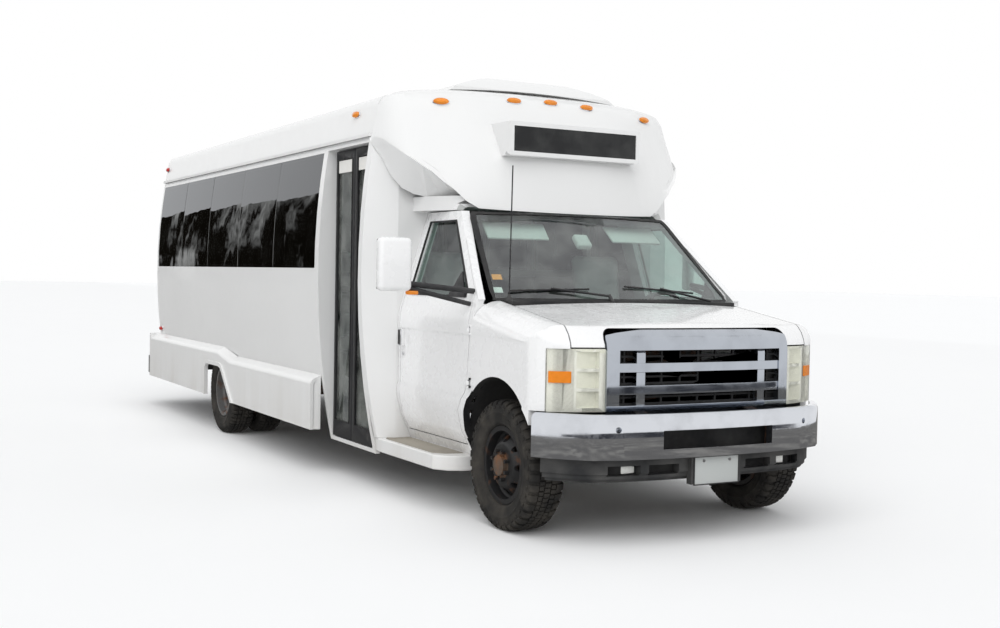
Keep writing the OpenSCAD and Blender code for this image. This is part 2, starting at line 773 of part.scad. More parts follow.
module front_bumper() color(chrome) place() difference() {
    union() {
        run_z(480, 718 - bumper_roll) bumper_plan(0);
        for (k = [0:5]) run_z(718 - bumper_roll + bumper_roll * sin(15 * k) - 1,
            718 - bumper_roll + bumper_roll * sin(15 * k + 15))
            bumper_plan(bumper_roll * (1 - cos(15 * k + 8)));
    }
    run_z(400, 800) bumper_plan(50);
    box([300, 500], [-880, 880], [400, 800]);
    box([600, 900], [-375, 375], [530, 630]);
    both() translate([690, 640, 640]) rotate([0, 90, 0]) cylinder(h = 300, r = 16);
}

plate_spacing = 177.8;
plate_z = 452;

module front_valance() color(black) place() difference() {
    union() {
        run_z(395, 480) bumper_plan(60);
        run_z(368, 396) bumper_plan(72);
        run_z(350, 369) bumper_plan(90);
        box([700, 742], [-170, 170], [325, 480]);
    }
    run_z(300, 800) bumper_plan(118);
    both() for (y = [230, 470]) box([500, 800], [y, y + 190], [385, 440]);
    for (y = [-1, 1] * plate_spacing / 2)
        translate([600, y, plate_z]) rotate([0, 90, 0]) cylinder(h = 200, r = 3.5);
}

// cowl panel with wipers and the aerial; its front edge clears the heel of the lifted hood
cowl_x = -124;

module cowl() color(black) place() {
    intersection() {
        box([-300, cowl_x], [-815, 815], [1272, 1296]);
        nose_crown(-20);
    }
    // arm and blade of each wiper, parked along the foot of the glass: pivot y
    translate([shield_x, 0, 1296]) rotate([0, -shield_lean, 0]) for (y = [-110, 690]) {
        translate([glass_x(y) + 22, y, -50]) cylinder(h = 80, r = 11);
        rod([glass_x(y) + 24, y, 22], [glass_x(y - 370) + 18, y - 370, 108], 7);
        rod([glass_x(y - 110) + 12, y - 110, 96], [glass_x(y - 640) + 12, y - 640, 120], 6);
    }
    rod([-196, -798, 1284], [-196, -790, 2080], 4);
}

// how far the glass has bent back at y
function glass_x(y) = -y * y / (2 * shield_r);

module dashboard() color(black) place() {
    difference() {
        union() {
            box([-560, -310], [-880, 880], [900, 1210]);
            box([-1000, -330], [-330, 330], [690, 1120]);
        }
        box([-980, -200], [-310, 310], [600, 1090]);
    }
}

module steering_wheel() color(black) place() translate([-690, 600, 1190]) rotate([0, -55, 0]) {
    rotate_extrude() translate([190, 0]) circle(r = 15);
    cylinder(h = 24, r = 60, center = true);
    for (a = [90, 210, 330]) rotate([0, 0, a]) box([40, 185], [-14, 14], [-8, 8]);
    translate([0, 0, -158]) cylinder(h = 150, r = 28);
}

module cab_seats() color(hide) place() for (y = [-585, 585]) {
    box([-1270, -830], [y - 235, y + 235], [930, 1060]);
    translate([-1270, 0, 1000]) rotate([0, -10, 0]) box([-110, 20], [y - 215, y + 215], [0, 640]);
    box([-1200, -860], [y - 180, y + 180], [690, 931]);
}

// lounge benches along both sides and across the rear
module benches() color(hide) place() {
    box([-6600, -2420], [-1120, -640], [floor_z, 1290]);
    box([-6600, -1700], [640, 1120], [floor_z, 1290]);
    box([-6950, -6430], [-1120, 1120], [floor_z, 1290]);
    box([-6600, -2420], [-1120, -1000], [1280, 1460]);
    box([-6600, -1700], [1000, 1120], [1280, 1460]);
    box([-6950, -6820], [-1120, 1120], [1280, 1500]);
}

module cab_steps() color(white) place() both() difference() {
    run_z(272, 362) polygon([[coach_front_x, 780], [coach_front_x, 1095], [-1350, 1110],
        [-560, 1100], [-470, 1040],
        [-432, 960], [-432, 780]]);
    run_z(260, 342) polygon([[-1500, 760], [-1410, 1070], [-570, 1066], [-500, 1010], [-470, 940],
        [-470, 760]]);
}

module rear_bumper() color(black) place() {
    difference() {
        run_z(335, 520) polygon([[-7470, -1150], [-7470, 1150], [-7300, 1230], [-7170, 1230],
            [-7170, -1230], [-7300, -1230]]);
        run_z(300, 505) polygon([[-7440, -1140], [-7440, 1140], [-7290, 1205], [-7100, 1205],
            [-7100, -1205], [-7290, -1205]]);
    }
}

// lamps on the rear wall: [height, radius]
module tail_lamps() color(red) place() both() for (p = [[920, 52], [1060, 52], [1200, 52]])
    translate([rear_x, 960, p[0]]) rotate([0, -90, 0]) cylinder(h = 26, r = p[1]);

// Chassis

rail_y = [355, 430];
rail_z = [500, 690];

module chassis_frame() color(black) place() {
    both() difference() {
        box([-7130, 707.1], rail_y, rail_z);
        box([-7200, 800], [300, rail_y[1] - 9], [rail_z[0] + 9, rail_z[1] - 9]);
    }
    for (x = [380, -1420, -1900, -3000, -3700, -5500, -6400, -7060])
        translate([x, 0, 645]) rotate([90, 0, 0]) cylinder(h = 2 * rail_y[1] - 10, r = 32, center = true);
    box([-120, 120], [-rail_y[1] + 4, rail_y[1] - 4], [rail_z[0], rail_z[0] + 15]);
}

module engine() color(steel) place() {
    box([-620, 250], [-270, 270], [515, 1040]);
    box([-1250, -620], [-190, 190], [420, 606]);
}

// one beam to each steering pin, coil springs up to the frame
module front_beams() color(black) place() for (s = [1, -1]) handed(s) {
    x = 45 * s;
    difference() {
        union() {
            rod([x, -230, 430], [x, kingpin_y - 130, wheel_z], 34);
            box([x - 30, x + 30], [-265, -205], [400, rail_z[0]]);
            box([-42, 42], [kingpin_y - 150, kingpin_y - 55], [wheel_z - 118, wheel_z + 118]);
            box([-34, 34], [kingpin_y - 90, kingpin_y + 32], [wheel_z - 120, wheel_z - 92]);
            box([-34, 34], [kingpin_y - 90, kingpin_y + 32], [wheel_z + 92, wheel_z + 120]);
            translate([0, kingpin_y, wheel_z - 110]) cylinder(h = 220, r = 15);
        }
        box([-60, 60], [kingpin_y - 54, kingpin_y - 30], [wheel_z - 80, wheel_z + 80]);
    }
    translate([x, 492, 400]) cylinder(h = 222, r = 52);
    box([x - 70, x + 70], [rail_y[1], 552], [620, 650]);
}

module rear_axle() color(black) place() translate([-wheelbase, 0, 0]) {
    translate([0, 0, wheel_z]) rotate([90, 0, 0]) cylinder(h = 1360, r = 62, center = true);
    translate([0, 0, wheel_z]) sphere(r = 185);
    both() {
        translate([0, 660, wheel_z]) rotate([-90, 0, 0]) cylinder(h = 215, r = 52);
        // leaf springs and their hangers
        for (k = [0:3]) box([-640 + k * 120, 640 - k * 120], [495, 565], [436 + k * 11 - 1, 446 + k * 11]);
        box([-70, 70], [485, 575], [380, 492]);
        for (x = [-625, 625]) box([x - 25, x + 25], [rail_y[1], 570], [430, 620]);
        rod([-180, 520, 380], [-420, 468, 640], 30);
    }
}

module drive_shaft() color(steel) place() rod([-1250, 0, 520], [-wheelbase + 178, 0, 400], 42);

// fuel tank ahead of the rear axle
tank_ahead = 1050;
tank_l = 1100;

module fuel_tank() color(black) place() translate([-wheelbase + tank_ahead, 0, 0]) {
    box([0, tank_l], [470, 960], [340, 640]);
    for (x = [250, tank_l - 250]) box([x - 25, x + 25], [rail_y[1], 700], [640, 680]);
}

module exhaust() color(steel) place() {
    translate([-3300, -620, 470]) rotate([0, 90, 0]) cylinder(h = 700, r = 115);
    rod([-2610, -620, 470], [-1250, -520, 520], 32);
    rod([-3290, -620, 470], [-3900, -620, 470], 32);
    // hangers on the cross sills
    for (x = [-3100, -3800]) box([x - 20, x + 20], [-635, -605], [480, 690]);
}

// Wheels, drawn with their outer side at +Z

module wheel_at(s, x, y) translate([x, s * y, wheel_z]) rotate([s > 0 ? -90 : 90, 0, 0]) children();

module rim_barrel() rotate_extrude() polygon([[222, 86], [222, 76], [204, 76], [204, 30], [188, 14],
    [188, -30], [204, -46], [204, -76], [222, -76], [222, -86], [196, -86], [194, -50], [176, -34],
    [176, 18], [192, 34], [194, 86]]);

module tyre(half) rotate_extrude() polygon([[204.2, -75.8], [224, -75.8], [232, -half + 18],
    [270, -half + 3], [310, -half], [346, -half + 8], [363, -half + 22], [tyre_r, -half + 44],
    [tyre_r, half - 44], [363, half - 22], [346, half - 8], [310, half], [270, half - 3],
    [232, half - 18], [224, 75.8], [204.2, 75.8]]);

lug_ring = 82.5;

module lugs(z, h) for (i = [0:7]) rotate([0, 0, 22.5 + 45 * i]) translate([lug_ring, 0, z])
    cylinder(h = h, r = 12, $fn = 6);

module front_wheel(s) place() wheel_at(s, 0, front_track_half) {
    rim_barrel();
    difference() {
        rotate_extrude() polygon([[184, 16], [170, 32], [142, 64], [128, 82], [112, 90], [40, 90],
            [40, 80], [108, 80], [120, 72], [134, 54], [160, 22], [178, 2]]);
        for (i = [0:7]) rotate([0, 0, 45 * i]) translate([147, 0, 0]) cylinder(h = 100, r = 19);
    }
    lugs(89, 28);
    // hub and brake disc
    difference() {
        union() {
            translate([0, 0, 50]) cylinder(h = 64, r = 58);
            translate([0, 0, -12]) cylinder(h = 94, r = 70);
            translate([0, 0, -14]) cylinder(h = 26, r = 160);
        }
        translate([0, 0, -20]) cylinder(h = 90, r = 34.5);
    }
}

module front_wheel_right() color(black) front_wheel(-1);
module front_wheel_left() color(black) front_wheel(1);
module front_tyre_right() color(rubber) place() wheel_at(-1, 0, front_track_half) tyre(front_tyre_half);
module front_tyre_left() color(rubber) place() wheel_at(1, 0, front_track_half) tyre(front_tyre_half);

// a rim dished to the inner side, bolted back to back in pairs
module dished_rim() {
    rim_barrel();
    difference() {
        rotate_extrude() polygon([[184, -10], [160, -84], [128, -126], [46, -126], [46, -134.8],
            [132, -134.8], [170, -90], [190, -16]]);
        for (i = [0:7]) rotate([0, 0, 45 * i]) translate([146, 0, -140]) cylinder(h = 100, r = 17);
    }
}

module rear_wheels(s) place() {
    wheel_at(s, -wheelbase, rear_pair_y + pair_half) {
        dished_rim();
        lugs(-127, 30);
        translate([0, 0, -135]) cylinder(h = 150, r = 60);
    }
    difference() {
        union() {
            wheel_at(s, -wheelbase, rear_pair_y - pair_half) mirror([0, 0, 1]) dished_rim();
            wheel_at(s, -wheelbase, rear_pair_y) translate([0, 0, -230]) cylinder(h = 232, r = 88);
            wheel_at(s, -wheelbase, rear_pair_y) translate([0, 0, -200]) cylinder(h = 80, r = 160);
        }
        wheel_at(s, -wheelbase, rear_pair_y) translate([0, 0, -300]) cylinder(h = 240, r = 52.5);
    }
}

module rear_tyres(s) place() {
    wheel_at(s, -wheelbase, rear_pair_y + pair_half) tyre(rear_tyre_half);
    wheel_at(s, -wheelbase, rear_pair_y - pair_half) tyre(rear_tyre_half);
}

module rear_wheels_right() color(white) rear_wheels(-1);
module rear_wheels_left() color(white) rear_wheels(1);
module rear_tyres_right() color(rubber) rear_tyres(-1);
module rear_tyres_left() color(rubber) rear_tyres(1);

// upright with its spindle
module knuckle(s) place() handed(s) difference() {
    union() {
        translate([0, kingpin_y, wheel_z - 84]) cylinder(h = 168, r = 34);
        translate([0, kingpin_y, wheel_z]) rotate([-90, 0, 0]) cylinder(h = 130, r = 34);
    }
    translate([0, kingpin_y, wheel_z - 100]) cylinder(h = 200, r = 15.5);
}

module knuckle_right() color(steel) knuckle(-1);
module knuckle_left() color(steel) knuckle(1);

// Entry leaves

leaf_gap = 8;
leaf_z = [threshold_z + 8, doorway_head_z - 8];
leaf_w = (doorway_w - 3 * leaf_gap) / 2;
leaf_frame = 48;

// f is 0 for the rear leaf and 1 for the front one
function leaf_x0(f) = doorway_x0 + leaf_gap + f * (leaf_w + leaf_gap);

// hinge side of a leaf, with a round edge about its pin
function leaf_pin_x(f) = f == 0 ? leaf_x0(0) + leaf_t / 2 : leaf_x0(1) + leaf_w - leaf_t / 2;
leaf_pin_y = -leaf_y + leaf_t / 2;

module entry_leaf(f) place() difference() {
    union() {
        box([f == 0 ? leaf_pin_x(0) : leaf_x0(1), f == 0 ? leaf_x0(0) + leaf_w : leaf_pin_x(1)],
            [-leaf_y, -leaf_y + leaf_t], leaf_z);
        translate([leaf_pin_x(f), leaf_pin_y, leaf_z[0]]) cylinder(h = leaf_z[1] - leaf_z[0], r = leaf_t / 2);
    }
    for (z = [leaf_z[0] - 20, leaf_z[1] - 25])
        translate([leaf_pin_x(f), leaf_pin_y, z]) cylinder(h = 45, r = 9.5);
    box([leaf_x0(f) + leaf_frame, leaf_x0(f) + leaf_w - leaf_frame], [-leaf_y - 10, 0],
        [leaf_z[0] + 110, leaf_z[1] - 60]);
}

module entry_pane(f) place()
    box([leaf_x0(f) + leaf_frame, leaf_x0(f) + leaf_w - leaf_frame],
        [-leaf_y + 12, -leaf_y + 18], [leaf_z[0] + 110, leaf_z[1] - 60]);

module entry_leaf_front() color(black) entry_leaf(1);
module entry_leaf_rear() color(black) entry_leaf(0);
module entry_glass_front() color(dark) entry_pane(1);
module entry_glass_rear() color(dark) entry_pane(0);

chassis_frame();
engine();
front_beams();
rear_axle();
drive_shaft();
fuel_tank();
exhaust();
floor();
wall_right();
wall_left();
wall_rear();
roof();
entry_portal();
fairing();
front_cap();
sign_pane();
roof_unit();
skirts();
side_glass();
cab_shell();
windshield();
fenders();
grille_frame();
grille_mesh();
wheel_houses();
shield_seal();
lamp_lens();
headlamps();
front_bumper();
front_valance();
cowl();
dashboard();
steering_wheel();
cab_seats();
benches();
cab_steps();
rear_bumper();
tail_lamps();
hood();
cab_door_right();
cab_door_left();
cab_glass_right();
cab_glass_left();
mirror_right();
mirror_left();
entry_leaf_front();
entry_leaf_rear();
entry_glass_front();
entry_glass_rear();
knuckle_right();
knuckle_left();
front_wheel_right();
front_wheel_left();
front_tyre_right();
front_tyre_left();
rear_wheels_right();
rear_wheels_left();
rear_tyres_right();
rear_tyres_left();
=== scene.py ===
"""Looks of a cutaway-van party bus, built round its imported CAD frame."""

import json
import logging
import math
from dataclasses import dataclass, field
from enum import Enum
from typing import Callable, ClassVar, Optional, Sequence

import bpy
from mathutils import Matrix, Vector

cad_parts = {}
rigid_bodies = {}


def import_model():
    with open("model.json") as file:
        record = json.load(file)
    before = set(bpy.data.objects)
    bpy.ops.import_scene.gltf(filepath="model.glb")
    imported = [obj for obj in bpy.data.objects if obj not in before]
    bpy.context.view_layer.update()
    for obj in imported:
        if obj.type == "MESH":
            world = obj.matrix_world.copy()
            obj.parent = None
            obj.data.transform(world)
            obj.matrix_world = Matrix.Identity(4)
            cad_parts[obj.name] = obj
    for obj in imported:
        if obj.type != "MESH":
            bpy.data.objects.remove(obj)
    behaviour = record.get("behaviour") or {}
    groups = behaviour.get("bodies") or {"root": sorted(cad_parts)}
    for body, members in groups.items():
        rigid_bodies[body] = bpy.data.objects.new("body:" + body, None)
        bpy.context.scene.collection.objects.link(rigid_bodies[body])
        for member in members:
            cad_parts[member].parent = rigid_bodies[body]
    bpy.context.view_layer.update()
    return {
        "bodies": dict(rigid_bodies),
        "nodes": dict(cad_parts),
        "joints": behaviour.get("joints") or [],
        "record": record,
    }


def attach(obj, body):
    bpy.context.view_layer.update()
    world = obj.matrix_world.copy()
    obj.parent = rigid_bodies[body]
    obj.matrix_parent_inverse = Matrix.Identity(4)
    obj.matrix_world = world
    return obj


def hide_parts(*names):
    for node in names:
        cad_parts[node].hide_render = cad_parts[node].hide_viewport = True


LOG = logging.getLogger("bus")

# row-frame x of the front axle: every x below is measured from that axle, forward
AXLE_X = 3.345
# row-frame y of the bus's own middle plane: the right mirror puts the frame's middle to its right
MID_Y = 0.164

# the wheels' outer radius and the distance between the axles
WHEEL_R = 0.370
WHEELBASE = 4.70
# a place deep inside the bus: its surfaces' normals point away from it
HEART = (-2.5, 0.0, 1.2)

# how a cushion swells: its start against its cap, its rounding, its pressure and its time
SWELL_INSET = 0.8
SWELL_ROUND = 0.4
SWELL_PRESSURE = 4.0
SWELL_FRAMES = 20

Point = Sequence[float]
Colour = Sequence[float]
Nodes = dict[str, bpy.types.Object]


class Axis(Enum):
    """The direction in which a drum, prism or lathe runs."""

    X = 0
    Y = 1
    Z = 2


class Body(Enum):
    """The moving bodies of the frame."""

    BUS = "bus"
    DOOR_RIGHT = "cab_door_right"
    DOOR_LEFT = "cab_door_left"
    ENTRY_FRONT = "entry_front"
    ENTRY_REAR = "entry_rear"
    WHEEL_FRONT_RIGHT = "wheel_front_right"
    WHEEL_FRONT_LEFT = "wheel_front_left"
    WHEELS_REAR_RIGHT = "wheels_rear_right"
    WHEELS_REAR_LEFT = "wheels_rear_left"


# Modelling helpers


def at(x: float, y: float, z: float) -> Vector:
    """The row-frame point of a place measured from the middle of the front axle."""
    return Vector((AXLE_X + x, MID_Y + y, z))


def only(obj: bpy.types.Object) -> None:
    """Selects one object alone and makes it active.

    Args:
        obj: The object to work on next.
    """
    bpy.ops.object.select_all(action="DESELECT")
    obj.select_set(True)
    bpy.context.view_layer.objects.active = obj


def start(name: str) -> bpy.types.Object:
    """Names the primitive that was just added and puts its place in its mesh.

    Args:
        name: The new piece's name.

    Returns:
        The object, at the origin, unturned and unscaled.
    """
    obj = bpy.context.object
    obj.name = name
    obj.data.name = name
    only(obj)
    bpy.ops.object.transform_apply(location=True, rotation=True, scale=True)
    return obj


def apply_modifier(obj: bpy.types.Object, kind: str, **settings: object) -> None:
    """Adds a modifier, sets it and applies it.

    Args:
        obj: The object to change.
        kind: Blender's name of the modifier type.
        settings: The modifier's own settings.
    """
    modifier = obj.modifiers.new(kind, kind)
    for key, value in settings.items():
        setattr(modifier, key, value)
    only(obj)
    bpy.ops.object.modifier_apply(modifier=modifier.name)


def soften(obj: bpy.types.Object, width: float, segments: int = 2, angle: float = 30.0) -> None:
    """Rounds the edges that are sharper than an angle.

    Args:
        obj: The object to change.
        width: How wide each rounding is, in metres.
        segments: Steps across the rounding.
        angle: The least angle in degrees that counts as an edge.
    """
    apply_modifier(obj, "BEVEL", width=width, segments=segments, limit_method="ANGLE",
                   angle_limit=math.radians(angle))


def block(name: str, low: Point, high: Point, round_by: float = 0.0, segments: int = 2) -> bpy.types.Object:
    """A box between two corners, measured from the axle, with rounded edges.

    Args:
        name: The piece's name.
        low: Lowest corner.
        high: Highest corner.
        round_by: Width of the rounding of its edges.
        segments: Steps across that rounding.

    Returns:
        The new object.
    """
    a = at(*low)
    b = at(*high)
    bpy.ops.object.select_all(action="DESELECT")
    bpy.ops.mesh.primitive_cube_add(size=1.0, location=(a + b) / 2, scale=b - a)
    obj = start(name)
    if round_by > 0:
        soften(obj, round_by, segments)
    return obj


def drum(name: str, centre: Point, axis: Axis, radius: float, depth: float, sides: int = 24,
         round_by: float = 0.0) -> bpy.types.Object:
    """A round disc or rod along one axis.

    Args:
        name: The piece's name.
        centre: Its middle, measured from the axle.
        axis: The direction that it runs in.
        radius: Its radius.
        depth: Its length along the axis.
        sides: Facets round it.
        round_by: Width of the rounding of its rims.

    Returns:
        The new object.
    """
    turn = {Axis.X: (0, math.pi / 2, 0), Axis.Y: (math.pi / 2, 0, 0), Axis.Z: (0, 0, 0)}[axis]
    bpy.ops.object.select_all(action="DESELECT")
    bpy.ops.mesh.primitive_cylinder_add(vertices=sides, radius=radius, depth=depth,
                                        location=at(*centre), rotation=turn)
    obj = start(name)
    if round_by > 0:
        soften(obj, round_by, 2, 50.0)
    return obj


def prism(name: str, outline: Sequence[Point], axis: Axis, low: float, high: float,
          round_by: float = 0.0, segments: int = 2) -> bpy.types.Object:
    """A flat outline extruded along an axis.

    Args:
        name: The piece's name.
        outline: Points in the plane across the axis, in the order of the other two axes.
        axis: The direction of the extrusion.
        low: Where it starts on that axis.
        high: Where it ends.
        round_by: Width of the rounding of its edges.
        segments: Steps across that rounding.

    Returns:
        The new object.
    """
    bpy.ops.object.select_all(action="DESELECT")
    bpy.ops.mesh.primitive_circle_add(vertices=len(outline), radius=1.0, fill_type="NGON")
    obj = start(name)
    others = [i for i in range(3) if i != axis.value]
    for vertex, point in zip(obj.data.vertices, outline):
        place = [0.0, 0.0, 0.0]
        place[axis.value] = low
        place[others[0]] = point[0]
        place[others[1]] = point[1]
        vertex.co = at(*place)
    reach = [0.0, 0.0, 0.0]
    reach[axis.value] = high - low
    bpy.ops.object.mode_set(mode="EDIT")
    bpy.ops.mesh.select_all(action="SELECT")
    bpy.ops.mesh.extrude_region_move(TRANSFORM_OT_translate={"value": reach})
    bpy.ops.mesh.select_all(action="SELECT")
    bpy.ops.mesh.normals_make_consistent(inside=False)
    bpy.ops.object.mode_set(mode="OBJECT")
    if round_by > 0:
        soften(obj, round_by, segments)
    return obj


def lathe(name: str, profile: Sequence[Point], steps: int) -> bpy.types.Object:
    """A closed profile of (radius, height) points spun round Z at the world origin.

    Args:
        name: The piece's name.
        profile: The closed profile's points in order.
        steps: Facets round it.

    Returns:
        The new object, still at the world origin.
    """
    bpy.ops.object.select_all(action="DESELECT")
    bpy.ops.mesh.primitive_circle_add(vertices=len(profile), radius=1.0, fill_type="NOTHING")
    obj = start(name)
    for vertex, point in zip(obj.data.vertices, profile):
        vertex.co = (point[0], 0.0, point[1])
    bpy.ops.object.mode_set(mode="EDIT")
    bpy.ops.mesh.select_all(action="SELECT")
    bpy.ops.mesh.spin(steps=steps, angle=2 * math.pi, center=(0, 0, 0), axis=(0, 0, 1))
    bpy.ops.mesh.select_all(action="SELECT")
    bpy.ops.mesh.remove_doubles(threshold=1e-5)
    bpy.ops.mesh.normals_make_consistent(inside=False)
    bpy.ops.object.mode_set(mode="OBJECT")
    return obj


def bead(name: str, points: Sequence[Point], radius: float, closed: bool = False,
         sides: int = 3) -> bpy.types.Object:
    """A round strip or tube along a path.

    Args:
        name: The piece's name.
        points: The path's points, measured from the axle.
        radius: Half the strip's thickness.
        closed: Whether the last point joins the first.
        sides: Resolution of the round section.

    Returns:
        The new mesh object.
    """
    curve = bpy.data.curves.new(name, "CURVE")
    curve.dimensions = "3D"
    curve.bevel_depth = radius
    curve.bevel_resolution = sides
    curve.use_fill_caps = True
    spline = curve.splines.new("POLY")
    spline.points.add(len(points) - 1)
    for knot, point in zip(spline.points, points):
        place = at(*point)
        knot.co = (place.x, place.y, place.z, 1.0)
    spline.use_cyclic_u = closed
    obj = bpy.data.objects.new(name, curve)
    bpy.context.collection.objects.link(obj)
    only(obj)
    bpy.ops.object.convert(target="MESH")
    return bpy.context.object


def joined(name: str, pieces: Sequence[bpy.types.Object]) -> bpy.types.Object:
    """Joins several objects into one.

    Args:
        name: The joined piece's name.
        pieces: The objects to join.

    Returns:
        The one object that is left.
    """
    only(pieces[0])
    for piece in pieces[1:]:
        piece.select_set(True)
    if len(pieces) > 1:
        bpy.ops.object.join()
    obj = bpy.context.object
    obj.name = name
    obj.data.name = name
    return obj


def twin(obj: bpy.types.Object, name: str, move: Matrix) -> bpy.types.Object:
    """A copy with its own mesh, moved by a matrix.

    Args:
        obj: The object to copy.
        name: The copy's name.
        move: Where the copy's mesh goes; a mirror turns its faces outward again.

    Returns:
        The copy.
    """
    copy = obj.copy()
    copy.data = obj.data.copy()
    copy.name = name
    copy.data.name = name
    bpy.context.collection.objects.link(copy)
    copy.data.transform(move)
    if move.determinant() < 0:
        copy.data.flip_normals()
    return copy


def mirrored(obj: bpy.types.Object, name: str) -> bpy.types.Object:
    """The same piece on the bus's other side."""
    return twin(obj, name, Matrix.Translation((0, 2 * MID_Y, 0)) @ Matrix.Scale(-1.0, 4, (0, 1, 0)))


def snap(node: bpy.types.Object, point: Point) -> Matrix:
    """A frame on a CAD node's surface at the spot nearest to a point.

    Args:
        node: The CAD node.
        point: The point, measured from the axle.

    Returns:
        A matrix with Z along the surface's normal and X level.
    """
    _, spot, normal, _ = node.closest_point_on_mesh(at(*point))
    if normal.dot(spot - at(*HEART)) < 0:
        normal = -normal
    level = Vector((0.0, 0.0, 1.0)).cross(normal).normalized()
    turn = Matrix((level, normal.cross(level), normal)).transposed().to_4x4()
    return Matrix.Translation(spot) @ turn


def loose(obj: bpy.types.Object, move: Matrix) -> bpy.types.Object:
    """Takes a piece built round the axle's zero and puts it in a frame.

    Args:
        obj: A piece built with places measured from zero.
        move: The frame that it goes to.

    Returns:
        The same object.
    """
    obj.data.transform(move @ Matrix.Translation(-at(0, 0, 0)))
    return obj


def padded(name: str, low: Point, high: Point, voxel: float, cap: float) -> bpy.types.Object:
    """A cushion that swells from a slightly smaller block under pressure.

    Args:
        name: The cushion's name.
        low: Lowest corner of the cushion, where it rests.
        high: Highest corner.
        voxel: Size of its mesh.
        cap: How far a point may swell.

    Returns:
        The cushion, its cloth applied.
    """
    room = SWELL_INSET * cap
    inset = Vector((room, room, 0.0))
    start_low = Vector(low) + inset
    start_high = Vector(high) - inset - Vector((0, 0, room))
    obj = block(name, start_low, start_high, SWELL_ROUND * (start_high.z - start_low.z), 4)
    apply_modifier(obj, "REMESH", mode="VOXEL", voxel_size=voxel)
    rest = [vertex.co.copy() for vertex in obj.data.vertices]
    cloth = obj.modifiers.new("swell", "CLOTH")
    cloth.settings.use_pressure = True
    cloth.settings.uniform_pressure_force = SWELL_PRESSURE
    cloth.settings.effector_weights.gravity = 0.0
    for frame in range(1, SWELL_FRAMES + 1):
        bpy.context.scene.frame_set(frame)
    only(obj)
    bpy.ops.object.modifier_apply(modifier=cloth.name)
    bpy.context.scene.frame_set(1)
    for vertex, place in zip(obj.data.vertices, rest):
        shift = vertex.co - place
        if shift.length > cap:
            vertex.co = place + shift * (cap / shift.length)
        vertex.co.z = max(vertex.co.z, low[2])
    apply_modifier(obj, "SMOOTH", factor=0.5, iterations=3)
    apply_modifier(obj, "DECIMATE", ratio=0.45)
    return obj


def finish_piece(obj: bpy.types.Object, finish: "Finish", body: Body,
                 smooth: float = 40.0) -> bpy.types.Object:
    """Shades a finished piece, gives it its material and its body.

    Args:
        obj: The finished piece.
        finish: What it is made of.
        body: The frame's body that carries it.
        smooth: Edges under this angle, in degrees, shade smooth.

    Returns:
        The same object.
    """
    only(obj)
    bpy.ops.object.shade_smooth_by_angle(angle=math.radians(smooth))
    obj.data.materials.clear()
    obj.data.materials.append(finish.material())
    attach(obj, body.value)
    LOG.info("%s: %d faces on %s", obj.name, len(obj.data.polygons), body.value)
    return obj


# Finishes


